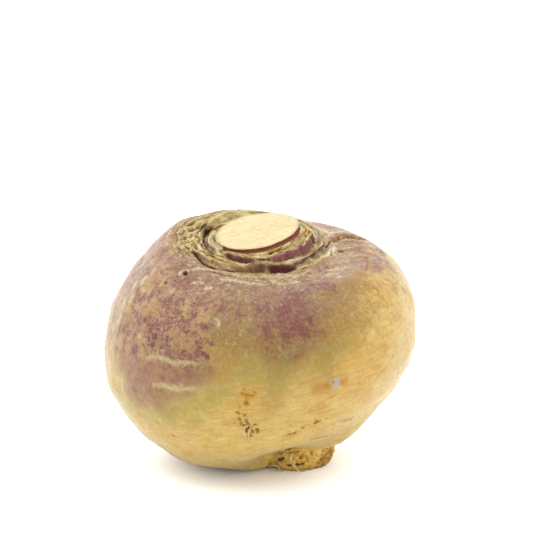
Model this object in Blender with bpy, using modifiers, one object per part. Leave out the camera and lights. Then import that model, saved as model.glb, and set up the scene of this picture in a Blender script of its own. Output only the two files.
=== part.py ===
"""Rutabaga: one whole root, its leaf tops cut off flat and its taproot trimmed to a stub.

It is one closed solid. A turned blank is spun round the root's own axis, and each of its points is
then set on the root's real outline, which swells far out on the left and falls away on the right.
Leaf scars step down from the cut face, two creases fold the right shoulder, and the stub is pinched
in at its neck. Last, the root leans over on its swelling and is pressed flat where it rests.

The outlines are drawn in the root's own upright frame: out from the axis, and up from the point
where the axis meets the ground. Angles go round the axis from +X: 90 is the back, 270 the front.
"""

import math

import bmesh
import bpy
import numpy as np

MM = 0.001
TAU = 2 * math.pi

# How the root sits: its axis leans to the left and towards the front, from a point on the ground.
LEAN = math.radians(9.6)
PITCH = math.radians(5.5)
AXIS_ON_GROUND = (16.0 * MM, 6.3 * MM)

# The cut face, a flat slice that slants a little more to the front than the root does.
CUT_RADIUS = 17.3 * MM
CUT_HEIGHT = 102.8 * MM
CUT_SLANT = math.radians(5.0)
CUT_EDGE = 0.5 * MM

# Half-outlines on the four sides, (out, up) in millimetres, at eleven stations from top to bottom:
# 0 the foot of the cut, 1 lip, 2 shoulder, 3 high, 4 widest, 5 flank, 6 low, 7 under, 8 neck,
# 9 stub and 10 the stub's end.
FRONT = ((17.7, 99.3), (33, 93.5), (46.5, 87), (57.5, 74), (62, 54), (59, 39.5),
         (48.5, 27.5), (34, 19), (20.5, 12.5), (19, 5.5), (15, -1))
RIGHT = ((17.7, 100.5), (31.5, 89), (46, 85.9), (56.9, 73.6), (58.5, 57), (54.4, 40.8),
         (42, 25), (27.5, 12.5), (17.5, 6.5), (16, 1.5), (11.5, -4))
BACK = ((17.7, 100.3), (33, 100.2), (46.5, 90.5), (57, 73), (59, 54), (56, 33.5),
        (45, 15.5), (29.5, 3.5), (15.5, 3), (14.5, 1), (9.5, -2))
LEFT = ((17.7, 100.4), (33, 105), (50, 97), (65.4, 79), (71, 54.2), (65.3, 33.3),
        (50, 13.5), (31, 4.8), (16, 6.5), (15, 3.5), (11, 1))

# Lobes that the four outlines miss: angle and half its width in degrees, station and half its
# length in stations, then how far the skin moves out and up in millimetres.
LOBES = (
    (215, 30, 6.9, 1.0, 0, -1.2),
    (227, 14, 7.9, 0.9, 2.2, -5.4),
    (259, 13, 7.2, 0.7, 0.0, 3.8),
    (325, 24, 6.9, 0.8, 1.5, -1.5),
    (306, 18, 7.4, 0.7, 0.5, -2.0),
    (118, 30, 1.5, 1.2, 0.3, 1.0),
    (152, 14, 1.35, 0.6, 0.4, 0.9),
    (342, 16, 5.5, 0.7, 0.3, -0.3),
)

# Rings of points between each station and the next: close together on the scars and the stub.
RINGS_BETWEEN = (24, 7, 4, 4, 3, 3, 4, 4, 3, 3)
RINGS_ON_CUT = 4
SIDES = 88

# Leaf scars: angle of the middle and half the width, in degrees, then the radius there, how much it
# grows from the middle to the end, and the step down, in millimetres. A step below zero climbs: on
# the left, one that falls and one that climbs make the moat beside the cut face.
LEAF_SCARS = (
    (248, 22, 21.2, 1.8, 2.2),
    (328, 48, 22.2, 0.0, 3.0),
    (14, 30, 25.2, 2.4, 1.8),
    (66, 36, 24.6, -0.8, 1.8),
    (162, 56, 21.4, -2.4, 2.6),
    (162, 56, 23.4, -2.2, -2.4),
    (222, 28, 29.0, 0.6, 1.6),
    (258, 26, 27.6, -1.4, 2.0),
    (284, 24, 26.6, 0.0, 2.6),
    (336, 44, 26.0, 0.6, 2.6),
    (38, 26, 28.8, 0.0, 1.8),
    (95, 34, 29.2, 0.0, 1.7),
    (150, 28, 28.8, 0.0, 1.4),
    (184, 22, 33.0, 0.0, 1.3),
    (160, 26, 37.5, 0.0, 1.1),
)
SCAR_WIDTH = 1.1 * MM

# The two creases on the right shoulder: depth and width in millimetres, then the way each one runs
# from the scars outwards, as (angle, out in millimetres). They fade over the last FOLD_FADE.
FOLDS = (
    (2.0, 2.2, ((9, 30), (16, 34), (20, 41), (25, 48))),
    (1.2, 1.8, ((2, 31), (4, 36), (358, 43), (352, 51))),
)
FOLD_FADE = 10 * MM

# Slow swellings all over the root, as it never grows quite even.
SWELLING = 0.45 * MM

# Stations by name: scars are cut above the shoulder and creases above the widest part, and the
# swellings fill the skin from the lip to under the belly.
LIP, SHOULDER, WIDEST, UNDER = 1, 2, 4, 7

WELD = 0.01 * MM
SHARP = math.radians(50)


def smooth_curve(points, station):
    """The (out, up) points read along one smooth curve through them."""
    points = np.asarray(points, float)
    last = len(points) - 1
    first = np.clip(np.floor(station).astype(int), 0, last - 1)
    share = (station - first)[:, None]
    before, start, end, after = (points[np.clip(first + k, 0, last)] for k in (-1, 0, 1, 2))
    return 0.5 * (2 * start + (end - before) * share
                  + (2 * before - 5 * start + 4 * end - after) * share**2
                  + (3 * start - before - 3 * end + after) * share**3)


def outline(station, angle):
    """(out, up) at each station and angle, blended smoothly between the four sides."""
    front, right, back, left = (smooth_curve(side, station) * MM
                                for side in (FRONT, RIGHT, BACK, LEFT))
    across, along, oval = (np.cos(angle)[:, None], np.sin(angle)[:, None],
                           np.cos(2 * angle)[:, None])
    blend = ((front + right + back + left) / 4 + across * (right - left) / 2
             + along * (back - front) / 2 + oval * (right + left - back - front) / 4)
    return blend[:, 0], blend[:, 1]


def turned_from(angle, middle):
    """How far each angle lies from one in degrees, either way round, in radians."""
    return (angle - math.radians(middle) + math.pi) % TAU - math.pi


def leaf_scars(out, angle):
    """Height added by the scars: a crest inside each arc and a hollow outside, fading at its ends."""
    height = np.zeros_like(out)
    for middle, half_width, radius, growth, step in LEAF_SCARS:
        turn = turned_from(angle, middle) / math.radians(half_width)
        fade = np.clip(1 - turn**2, 0, 1)**0.5
        arc = (radius + growth * np.clip(turn, -1, 1)) * MM
        across = (out - arc) / SCAR_WIDTH
        # x * exp(1/2 - x * x) is greatest at 1 / sqrt(2): half the step rises, half sinks.
        height -= step / 2 * MM * math.sqrt(2) * fade * across * np.exp(0.5 - across**2)
    return height


def distance_to(route, x, y):
    """How far each place is from a line of (angle, out) points, seen along the root's axis."""
    corners = [(out * MM * math.cos(math.radians(a)), out * MM * math.sin(math.radians(a)))
               for a, out in route]
    nearest = np.full_like(x, np.inf)
    for (x0, y0), (x1, y1) in zip(corners, corners[1:]):
        length2 = (x1 - x0)**2 + (y1 - y0)**2
        share = np.clip(((x - x0) * (x1 - x0) + (y - y0) * (y1 - y0)) / length2, 0, 1)
        away = np.hypot(x - x0 - share * (x1 - x0), y - y0 - share * (y1 - y0))
        nearest = np.minimum(nearest, away)
    return nearest


def folds(x, y):
    """Depth of the shoulder creases at each place, fading at their outer ends."""
    depth = np.zeros_like(x)
    for deep, wide, route in FOLDS:
        fade = np.clip((route[-1][1] * MM - np.hypot(x, y)) / FOLD_FADE, 0, 1)
        depth += deep * MM * fade * np.exp(-(distance_to(route, x, y) / (wide * MM))**2)
    return depth


def lobes(station, angle):
    """(out, up) moves of the lobes, each dying away round the root and down it."""
    out, up = np.zeros_like(angle), np.zeros_like(angle)
    for middle, half_width, level, half_length, move_out, move_up in LOBES:
        reach = np.exp(-(turned_from(angle, middle) / math.radians(half_width))**2
                       - ((station - level) / half_length)**2)
        out += move_out * MM * reach
        up += move_up * MM * reach
    return out, up


def swelling(station, angle):
    """Slow uneven growth, none at the crown and none at the stub."""
    below_lip = np.clip((station - LIP) / (UNDER - LIP), 0, 1)
    waves = np.sin(3 * angle + 1.1 * station) + np.sin(2 * angle - station)
    return SWELLING * np.sin(math.pi * below_lip) * waves


def turned_blank():
    """A profile down the mean outline, spun round the axis. Its rings are numbered from the top."""
    stations = [0.0]
    for first, rings in enumerate(RINGS_BETWEEN):
        stations += [first + (k + 1) / rings for k in range(rings)]
    quarter_turns = [TAU * k / 4 for k in range(4)]
    mean = [np.mean(outline(np.full(4, s), np.array(quarter_turns)), axis=1) for s in stations]
    cut = [(CUT_RADIUS * k / RINGS_ON_CUT, CUT_HEIGHT) for k in range(RINGS_ON_CUT)]
    cut += [(CUT_RADIUS - CUT_EDGE, CUT_HEIGHT), (CUT_RADIUS, CUT_HEIGHT - CUT_EDGE)]
    profile = cut + [tuple(point) for point in mean] + [(0.0, mean[-1][1])]
    stations = [None] * len(cut) + stations + [None]

    mesh = bpy.data.meshes.new("profile")
    bm = bmesh.new()
    points = [bm.verts.new((out, 0, up)) for out, up in profile]
    for upper, lower in zip(points, points[1:]):
        bm.edges.new((upper, lower))
    bm.to_mesh(mesh)
    bm.free()
    blank = bpy.data.objects.new("blank", mesh)
    spin = blank.modifiers.new("spin", "SCREW")
    spin.angle, spin.steps, spin.render_steps = TAU, SIDES, SIDES
    spin.use_merge_vertices, spin.merge_threshold = True, WELD
    return blank, np.array(profile), stations


def spun_mesh(blank):
    """The blank's spun surface as a mesh of its own, closed, and the blank taken away."""
    bpy.context.scene.collection.objects.link(blank)
    graph = bpy.context.evaluated_depsgraph_get()
    mesh = bpy.data.meshes.new_from_object(blank.evaluated_get(graph))
    bpy.data.objects.remove(blank)
    bm = bmesh.new()
    bm.from_mesh(mesh)
    bmesh.ops.remove_doubles(bm, verts=bm.verts, dist=WELD)
    bmesh.ops.recalc_face_normals(bm, faces=bm.faces)
    bm.to_mesh(mesh)
    bm.free()
    return mesh


def grown(points, profile, stations):
    """The blank's points set on the root's outline, scars and all, in the root's upright frame."""
    turned = np.hypot(points[:, 0], points[:, 1])
    away = np.hypot(turned[:, None] - profile[:, 0], points[:, 2, None] - profile[:, 1])
    ring = np.argmin(away, axis=1)
    angle = np.arctan2(points[:, 1], points[:, 0])
    on_side = np.array([s is not None for s in stations])[ring]
    station = np.array([0.0 if s is None else s for s in stations])[ring]

    out, up = outline(station, angle)
    lobe_out, lobe_up = lobes(station, angle)
    up = up + lobe_up + np.where(station < SHOULDER, leaf_scars(out, angle), 0)
    out = out + lobe_out + swelling(station, angle)
    x, y = out * np.cos(angle), out * np.sin(angle)
    up = up - np.where(station < WIDEST, folds(x, y), 0)

    below = points[:, 2] < CUT_HEIGHT / 2
    slanted = points[:, 2] + points[:, 1] * math.tan(CUT_SLANT)
    level = np.where(below, points[:, 2], slanted)
    return np.stack([np.where(on_side, x, points[:, 0]), np.where(on_side, y, points[:, 1]),
                     np.where(on_side, up, level)], axis=1)


def seated(points):
    """Leans the upright root over, onto the point where its axis meets the ground."""
    x, y, z = points.T
    x, z = x * math.cos(LEAN) - z * math.sin(LEAN), x * math.sin(LEAN) + z * math.cos(LEAN)
    y, z = y * math.cos(PITCH) - z * math.sin(PITCH), y * math.sin(PITCH) + z * math.cos(PITCH)
    return np.stack([x + AXIS_ON_GROUND[0], y + AXIS_ON_GROUND[1], z], axis=1)


def press_flat(mesh):
    """Levels the belly and the stub where they would pass the ground, so that the root rests on them."""
    bm = bmesh.new()
    bm.from_mesh(mesh)
    bmesh.ops.bisect_plane(bm, geom=bm.verts[:] + bm.edges[:] + bm.faces[:], dist=WELD,
                           plane_co=(0, 0, 0), plane_no=(0, 0, -1), clear_outer=True)
    for vert in bm.verts:
        vert.co.z = max(vert.co.z, 0)
    bmesh.ops.edgeloop_fill(bm, edges=[edge for edge in bm.edges if edge.is_boundary])
    bmesh.ops.recalc_face_normals(bm, faces=bm.faces)
    bm.to_mesh(mesh)
    bm.free()


def root_skin():
    """Buff yellow root flesh under a dull, slightly waxy skin."""
    material = bpy.data.materials.new("root_skin")
    material.use_nodes = True
    shader = material.node_tree.nodes["Principled BSDF"]
    shader.inputs["Base Color"].default_value = (0.47, 0.29, 0.11, 1)
    shader.inputs["Roughness"].default_value = 0.5
    shader.inputs["Metallic"].default_value = 0
    return material


def make_root(collection):
    blank, profile, stations = turned_blank()
    mesh = spun_mesh(blank)
    points = np.empty(3 * len(mesh.vertices), np.float32)
    mesh.vertices.foreach_get("co", points)
    points = seated(grown(points.reshape(-1, 3).astype(float), profile, stations))
    mesh.vertices.foreach_set("co", points.astype(np.float32).ravel())
    press_flat(mesh)
    mesh.name = "rutabaga"
    mesh.shade_smooth()
    mesh.set_sharp_from_angle(angle=SHARP)
    mesh.materials.append(root_skin())
    collection.objects.link(bpy.data.objects.new("rutabaga", mesh))


def main():
    for thing in list(bpy.data.objects):
        bpy.data.objects.remove(thing)
    collection = bpy.data.collections.new("rutabaga")
    bpy.context.scene.collection.children.link(collection)
    make_root(collection)


main()
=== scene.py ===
# %% [markdown]
# # A rutabaga
#
# This script dresses one real rutabaga: a swollen root, dull purple above and yellow below, with
# its leaf tops sliced off and its taproot trimmed to a stub. The packed model gives a plain solid
# to scale. Here the same outline is made again with finer relief, and it gets its skin.

# %% Load the plain root
import math

import bmesh
import bpy
import numpy as np
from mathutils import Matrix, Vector


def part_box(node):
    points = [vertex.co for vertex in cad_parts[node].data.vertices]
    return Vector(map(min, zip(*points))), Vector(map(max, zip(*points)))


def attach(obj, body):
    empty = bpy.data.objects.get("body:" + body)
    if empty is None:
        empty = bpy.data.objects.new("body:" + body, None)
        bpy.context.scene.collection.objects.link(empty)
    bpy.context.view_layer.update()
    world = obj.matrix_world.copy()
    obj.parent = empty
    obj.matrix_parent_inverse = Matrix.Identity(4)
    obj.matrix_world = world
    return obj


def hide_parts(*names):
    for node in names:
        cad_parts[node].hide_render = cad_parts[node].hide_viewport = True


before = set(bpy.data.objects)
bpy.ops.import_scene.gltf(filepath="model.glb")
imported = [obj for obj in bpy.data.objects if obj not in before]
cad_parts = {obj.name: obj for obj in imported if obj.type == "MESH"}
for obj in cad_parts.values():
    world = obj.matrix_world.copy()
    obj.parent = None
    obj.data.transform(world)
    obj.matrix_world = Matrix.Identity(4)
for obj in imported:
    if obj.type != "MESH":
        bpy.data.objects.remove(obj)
MM = 0.001
TAU = 2 * math.pi
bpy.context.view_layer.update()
low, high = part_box("rutabaga")
print("plain root, mm:", [round((b - a) / MM, 1) for a, b in zip(low, high)])

# %% [markdown]
# ## Where the root is seen from
#
# A long lens from nearly a metre away, a little above the root, shows it almost without
# perspective. The lens is shifted rather than turned, which moves the root down and to the left in
# the frame and leaves its shape alone.

# %% Camera
scene = bpy.context.scene
AIM = Vector((0.4, 4.3, 50.0)) * MM
DISTANCE = 950 * MM
CAMERA_HEIGHT = math.radians(16)

lens = bpy.data.cameras.new("lens")
lens.lens = 154
lens.sensor_width = 36
lens.shift_x, lens.shift_y = 0.011, 0.1485
camera = bpy.data.objects.new("camera", lens)
camera.location = AIM + DISTANCE * Vector((0, -math.cos(CAMERA_HEIGHT), math.sin(CAMERA_HEIGHT)))
camera.rotation_euler = (math.pi / 2 - CAMERA_HEIGHT, 0, 0)
scene.collection.objects.link(camera)
scene.camera = camera
print("camera at, mm:", [round(v / MM) for v in camera.location])

# %% [markdown]
# ## The root's outline
#
# A root isn't a lathe turning, so one profile isn't enough. Four half-outlines are drawn on its
# front, right, back and left, as (out, up) pairs at eleven stations: 0 is the foot of the cut, 4
# the widest part, 8 the neck and 10 the end of the stub. Such short lists are easy to correct one
# stop at a time, and an outline drawn with hundreds of points isn't.

# %% Half-outlines
FRONT = ((17.7, 99.3), (33, 93.5), (46.5, 87), (57.5, 74), (62, 54), (59, 39.5),
         (48.5, 27.5), (34, 19), (20.5, 12.5), (19, 5.5), (15, -1))
RIGHT = ((17.7, 100.5), (31.5, 89), (46, 85.9), (56.9, 73.6), (58.5, 57), (54.4, 40.8),
         (42, 25), (27.5, 12.5), (17.5, 6.5), (16, 1.5), (11.5, -4))
BACK = ((17.7, 100.3), (33, 100.2), (46.5, 90.5), (57, 73), (59, 54), (56, 33.5),
        (45, 15.5), (29.5, 3.5), (15.5, 3), (14.5, 1), (9.5, -2))
LEFT = ((17.7, 100.4), (33, 105), (50, 97), (65.4, 79), (71, 54.2), (65.3, 33.3),
        (50, 13.5), (31, 4.8), (16, 6.5), (15, 3.5), (11, 1))
print("stops on each half-outline:", len(FRONT))

# %% [markdown]
# ## Lobes
#
# Four sides can't tell where the root bulges or sinks in between them. Each lobe is a soft push on
# the skin, round one place on it, so a bulge can be changed without touching the half-outlines.

# %% Lobes
# Angle and half its width in degrees, station and half its length, then mm out and mm up.
LOBES = (
    (215, 30, 6.9, 1.0, 0, -1.2),
    (227, 14, 7.9, 0.9, 2.2, -5.4),
    (259, 13, 7.2, 0.7, 0.0, 3.8),
    (325, 24, 6.9, 0.8, 1.5, -1.5),
    (306, 18, 7.4, 0.7, 0.5, -2.0),
    (118, 30, 1.5, 1.2, 0.3, 1.0),
    (152, 14, 1.35, 0.6, 0.4, 0.9),
    (342, 16, 5.5, 0.7, 0.3, -0.3),
)
SWELLING = 0.45 * MM


def turned_from(angle, middle):
    """How far each angle lies from one in degrees, either way round, in radians."""
    return (angle - math.radians(middle) + math.pi) % TAU - math.pi


print("lobes:", len(LOBES))

# %% [markdown]
# ## Reading the outline anywhere
#
# A smooth curve runs down each half-outline, and a blend of sines and cosines runs round them, so
# the skin has no seam. Blender could loft a surface through such curves, but a formula can also be
# asked for a single place, and every mark and every hair root below needs that.

# %% Read the outline
def smooth_curve(points, station):
    """The (out, up) points read along one smooth curve through them."""
    points = np.asarray(points, float)
    last = len(points) - 1
    first = np.clip(np.floor(station).astype(int), 0, last - 1)
    share = (station - first)[:, None]
    before, start, end, after = (points[np.clip(first + k, 0, last)] for k in (-1, 0, 1, 2))
    return 0.5 * (2 * start + (end - before) * share
                  + (2 * before - 5 * start + 4 * end - after) * share**2
                  + (3 * start - before - 3 * end + after) * share**3)


def outline(station, angle):
    """(out, up) on the smooth side of the root, from the foot of the cut to the stub's end."""
    front, right, back, left = (smooth_curve(side, station) * MM
                                for side in (FRONT, RIGHT, BACK, LEFT))
    across, along, oval = (np.cos(angle)[:, None], np.sin(angle)[:, None],
                           np.cos(2 * angle)[:, None])
    blend = ((front + right + back + left) / 4 + across * (right - left) / 2
             + along * (back - front) / 2 + oval * (right + left - back - front) / 4)
    out, up = blend.T
    for middle, half_width, level, half_length, move_out, move_up in LOBES:
        reach = np.exp(-(turned_from(angle, middle) / math.radians(half_width))**2
                       - ((station - level) / half_length)**2)
        out = out + move_out * MM * reach
        up = up + move_up * MM * reach
    below_lip = np.clip((station - 1) / 6, 0, 1)
    waves = np.sin(3 * angle + 1.1 * station) + np.sin(2 * angle - station)
    return out + SWELLING * np.sin(math.pi * below_lip) * waves, up


out, up = outline(np.full(4, 4.0), np.radians([270, 0, 90, 180]))
print("widest part, mm out on four sides:", np.round(out / MM, 1))

# %% [markdown]
# ## The cut across the crown
#
# The leaf tops were sliced off in one stroke, so the crown ends in a flat disc on a low wall of
# darker rind. The stations go on upwards for it: from 0 to -1 up the wall, and from -1 to -2
# inwards to the middle of the disc. One function then places any point of the whole skin.

# %% Place any point of the skin
CUT_RADIUS = 17.3 * MM
CUT_HEIGHT = 102.8 * MM
CUT_SLANT = math.radians(5)
CUT_TOP, CUT_MIDDLE = -1, -2
WALL_HOLLOW = 0.45 * MM


def cut_edge(angle):
    """Radius of the disc: nearly round, with the slight flats that leaf bases leave."""
    return CUT_RADIUS + MM * (0.22 * np.sin(3 * angle + 0.6) + 0.12 * np.sin(8 * angle))


def smooth_skin(station, angle):
    """Upright places of the bare skin, in metres, before any relief."""
    out, up = outline(np.maximum(station, 0), angle)
    on_disc = np.clip(station - CUT_MIDDLE, 0, 1)
    up_wall = np.clip(-station, 0, 1)
    edge = cut_edge(angle) * on_disc
    disc_height = CUT_HEIGHT + edge * np.sin(angle) * math.tan(CUT_SLANT)
    out = np.where(station < 0, out + (edge - out) * up_wall, out)
    out = out - WALL_HOLLOW * np.sin(math.pi * up_wall)
    up = np.where(station < 0, up + (disc_height - up) * up_wall, up)
    return np.stack([out * np.cos(angle), out * np.sin(angle), up], axis=1)


def facing(station, angle):
    """Unit directions straight out of the bare skin."""
    step = 0.002
    down = smooth_skin(station + step, angle) - smooth_skin(station - step, angle)
    round_ = smooth_skin(station, angle + step) - smooth_skin(station, angle - step)
    out = np.cross(down, round_)
    return out / np.maximum(np.linalg.norm(out, axis=1, keepdims=True), 1e-12)


print("the skin faces out at the front:", facing(np.array([4.0]), np.radians([270]))[0].round(2))

# %% [markdown]
# ## Marks: a list to draw from
#
# A root is known by its marks: the crease under a shoulder, pits where side roots tore away, pale
# healed scratches. Each one is a smooth line of (station, degrees) stops, with a width, a rise or a
# depth in millimetres, and the stains it leaves. They are listed first and drawn later, because the
# skin needs smaller faces where they run.

# %% Note down a mark
marks = []


def mark(stops, width, rise=0.0, ragged=0.2, **stains):
    """Notes a mark for later. One stop alone makes a round spot."""
    marks.append((stops, width, rise, ragged, stains))


LINE_STEPS = 8


def line_through(stops):
    """Places in mm along a smooth line of (station, degrees) stops on the bare skin."""
    stops = np.array(stops, float)
    stops[:, 1] = np.degrees(np.unwrap(np.radians(stops[:, 1])))
    if len(stops) > 1:
        last = len(stops) - 1
        stops = smooth_curve(stops, np.linspace(0, last, LINE_STEPS * last + 1))
    return smooth_skin(stops[:, 0], np.radians(stops[:, 1])) / MM


print("a stop on the widest part, in front, mm:", line_through(((4, 270),))[0].round(1))

# %% [markdown]
# ## The moat beside the cut
#
# On the left the crown sank into a purple-grey hollow with black ends, and a cream ledge stands
# between it and the cut. Such forms could be sculpted by hand. Drawn as lines on the skin's own
# map, they keep their place when the outline changes, so all the marks are made that way.

# %% Crown: the moat and its ledge
mark(((0.47, 107), (0.43, 120), (0.44, 132), (0.44, 148), (0.40, 168), (0.36, 187), (0.39, 201),
      (0.42, 213), (0.45, 221)), 0.4, rise=-0.5, dark=1)
mark(((0.30, 172), (0.31, 189), (0.30, 201), (0.35, 212), (0.38, 219)), 0.9, rise=-0.5, ragged=0.1,
     riser=1, grey=0.2)
mark(((0.34, 210), (0.37, 215), (0.39, 219)), 0.7, rise=-0.8, dark=1)
mark(((0.27, 128), (0.30, 144), (0.31, 157), (0.28, 172)), 0.5, rise=-0.4, brown=1, dark=0.3)
mark(((0.20, 150), (0.19, 165), (0.18, 178)), 0.9, rise=0.1, rim=0.7)
mark(((0.14, 170), (0.10, 181), (0.05, 192), (0.05, 201), (0.18, 212), (0.34, 224)), 0.8, rise=0.2,
     rim=1)
mark(((-0.5, 176), (-0.5, 190), (-0.5, 203), (-0.4, 213)), 2.2, ragged=0.3, rim=1)
mark(((-0.5, 316), (-0.5, 335), (-0.5, 352)), 1.8, ragged=0.4, riser=0.8)
mark(((0.53, 145), (0.51, 155), (0.50, 166)), 0.6, rise=-0.5, dark=0.9)
print("marks so far:", len(marks))

# %% [markdown]
# ## Crevices in front of the cut
#
# In front the leaf scars end in dark crevices, some with a cream rim. A crevice is a line that
# falls by up to a millimetre or so and is darkened, partly as painted shade deeper than its shallow
# fall casts, and a rim is a line beside it that rises.
# They are drawn over the leaf scars made further down, which alone would be too even.

# %% Crown: crevices and their rims
mark(((0.76, 203), (0.78, 214), (0.86, 224), (0.89, 232), (0.86, 240), (0.80, 248), (0.74, 256),
      (0.70, 264), (0.67, 272)), 0.75, rise=-0.8, dark=1)
mark(((0.86, 237), (0.80, 247), (0.73, 254), (0.67, 262), (0.62, 271)), 0.7, rise=-0.5, brown=0.5,
     dark=0.5)
mark(((0.62, 258), (0.60, 268), (0.59, 280)), 0.9, rise=-0.4, ragged=0.3, riser=0.7, dark=0.6)
# Painted shadow: the deep pocket in front is darkened as the shade inside it.
mark(((0.60, 276), (0.64, 284), (0.68, 290), (0.67, 295), (0.62, 303)), 1.5, rise=-1.1, ragged=0.1,
     riser=1, dark=0.8)
mark(((0.62, 296), (0.60, 309), (0.59, 326), (0.62, 346), (0.73, 3), (0.86, 13), (0.94, 19)), 0.45,
     rise=-0.5, ragged=0.1, riser=0.9, dark=0.7)
mark(((0.04, 225), (0.19, 231), (0.29, 238), (0.34, 249), (0.34, 259), (0.34, 267)), 0.8, rise=-0.5,
     ragged=0.1, riser=1, dark=0.5)
mark(((0.16, 221), (-0.08, 224), (-0.06, 231), (0.02, 240), (0.08, 250), (0.15, 262)), 0.45,
     rise=0.5, rim=1)
mark(((0.30, 268), (0.33, 284), (0.35, 298), (0.35, 320), (0.37, 342), (0.47, 2)), 1.1, rise=-0.3,
     ragged=0.1, riser=1, dark=0.1)
mark(((0.30, 266), (0.34, 274), (0.37, 282)), 0.9, rise=-0.4, dark=0.8)
print("marks so far:", len(marks))

# %% [markdown]
# ## Leaf bases that stayed
#
# The last leaves left a hooked curl of rind on the right, a small knob in front of the cut, and
# pits where their fibres ran. No two are alike, so the lines are placed one by one. Only the pits
# differ in nothing but place, width and darkness, and a loop takes those from a short table.

# %% Crown: the hook, the knob and small pits
mark(((0.65, 18), (0.76, 28), (0.73, 37), (0.62, 38)), 0.6, rise=0.4, rim=0.8, grey=0.6)
mark(((0.55, 24), (0.51, 12), (0.53, 359)), 0.6, rise=-0.4, riser=0.8, grey=0.5)
mark(((0.40, 351), (0.47, 354)), 0.7, rise=-0.7, dark=1)
mark(((0.61, 54), (0.66, 51)), 1.0, rise=-0.6, riser=1, dark=0.7)
mark(((0.36, 28), (0.24, 8), (0.13, 354)), 0.5, rise=-0.4, brown=1)
mark(((0.39, 22), (0.34, 8), (0.29, 355)), 0.5, rise=-0.4, brown=1, dark=0.3)
mark(((0.44, 30), (0.44, 14), (0.42, 1)), 0.5, rise=0.3, rim=1)
mark(((0.33, 272), (0.45, 275), (0.35, 278)), 0.5, rise=0.5, pale=0.7, brown=0.5)
mark(((0.44, 268), (0.50, 275)), 0.6, rise=-0.4, brown=0.8, dark=0.3)
for stop, width, dark in (((0.14, 285.5), 0.8, 0.9), ((0.56, 239), 0.8, 0.4),
                          ((0.72, 230), 0.7, 0.3), ((0.41, 264), 0.7, 0.3),
                          ((0.62, 219), 0.7, 0.4), ((0.55, 333), 0.5, 0.4),
                          ((0.21, 318), 0.5, 0.3), ((0.48, 305), 0.5, 0.4)):
    mark((stop,), width, rise=-0.5, brown=1, dark=dark)
print("marks so far:", len(marks))

# %% [markdown]
# ## Creased cork behind the moat
#
# The oldest leaves stood at the back left, and their cork has shrunk into short creases with pale
# edges. Each one is drawn twice: as a brown groove, and as a pale rise just above the groove.

# %% Crown: creases in the cork behind the moat
EDGE_ABOVE = 0.07

for stops in (((0.97, 194), (0.84, 192), (0.72, 189), (0.57, 187)),
              ((1.12, 199), (0.92, 201), (0.70, 198)),
              ((1.04, 178), (0.86, 174), (0.70, 168), (0.57, 156)),
              ((0.90, 161), (0.80, 153), (0.73, 146), (0.69, 132)),
              ((0.98, 186), (0.82, 183), (0.66, 178)),
              ((0.58, 174), (0.46, 181), (0.53, 192)),
              ((1.10, 168), (0.98, 160), (0.94, 148), (0.95, 134)),
              ((0.66, 206), (0.60, 196), (0.62, 184)),
              ((0.80, 120), (0.76, 104), (0.80, 88))):
    mark(stops, 0.5, rise=-0.5, ragged=0.4, brown=0.6, dark=0.5)
    mark([(level - EDGE_ABOVE, degrees + 1) for level, degrees in stops], 0.6, rise=0.3, rim=0.8)
print("marks so far:", len(marks))

# %% [markdown]
# ## Dry lines along the lip
#
# Where the crown turns over into the shoulder, the skin dried into thin pale lines, with an olive
# crease below them. On the right, pale flecks run slantwise down from the lip. Colour does most of
# this, so the marks are ragged and hardly rise.

# %% Crown: pale lines along the lip
mark(((1.26, 222), (1.05, 231), (0.92, 243), (0.85, 255)), 0.6, rise=0.2, ragged=0.5, rim=0.6)
mark(((0.97, 247), (0.91, 263), (0.90, 277), (0.94, 287), (0.92, 299), (0.86, 312)), 0.6, rise=0.2,
     ragged=0.9, pale=0.5)
mark(((0.84, 216), (0.94, 232), (0.93, 248), (0.84, 262), (0.80, 275)), 0.9, rise=-0.2, ragged=0.6,
     brown=0.3, olive=0.9)
mark(((1.24, 243), (1.17, 254), (1.17, 263), (1.12, 272)), 0.6, rise=0.15, ragged=0.6, pale=0.7)
mark(((1.08, 232), (1.04, 242), (1.03, 252)), 0.5, rise=-0.2, ragged=0.5, dark=0.5)
mark(((1.11, 276), (1.18, 286), (1.16, 297)), 0.6, rise=0.1, ragged=0.6, pale=0.6)
mark(((0.81, 0), (0.76, 346), (0.72, 336)), 0.7, rise=0.25, rim=1)
mark(((0.92, 4), (0.83, 352), (0.78, 340)), 0.7, rise=0.2, rim=1)
mark(((0.80, 355), (0.85, 345)), 0.5, rise=-0.3, dark=0.7)
for stops in (((1.05, 322), (1.16, 327), (1.24, 333)), ((1.2, 316), (1.31, 321), (1.44, 325)),
              ((1.32, 330), (1.42, 336)), ((1.5, 318), (1.62, 322)), ((1.1, 338), (1.18, 345))):
    mark(stops, 0.55, ragged=0.6, pale=0.6)
mark(((0.62, 96), (0.66, 112), (0.68, 128), (0.66, 142)), 2.6, ragged=0.5, rim=0.45)
mark(((1.12, 26), (1.01, 33), (0.92, 40), (0.90, 58)), 1.2, rise=0.3, rim=0.6)
print("marks so far:", len(marks))

# %% [markdown]
# ## Marks on the right shoulder
#
# Growth pushed the right shoulder up into a lobe, and the skin folded at its edge: a brown wedge of
# a groove above the lobe, a second ledge below it, and a few fine creases where the folds run out.
# The fold is the deepest mark of all, and the lines beside it are much shallower.

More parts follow.
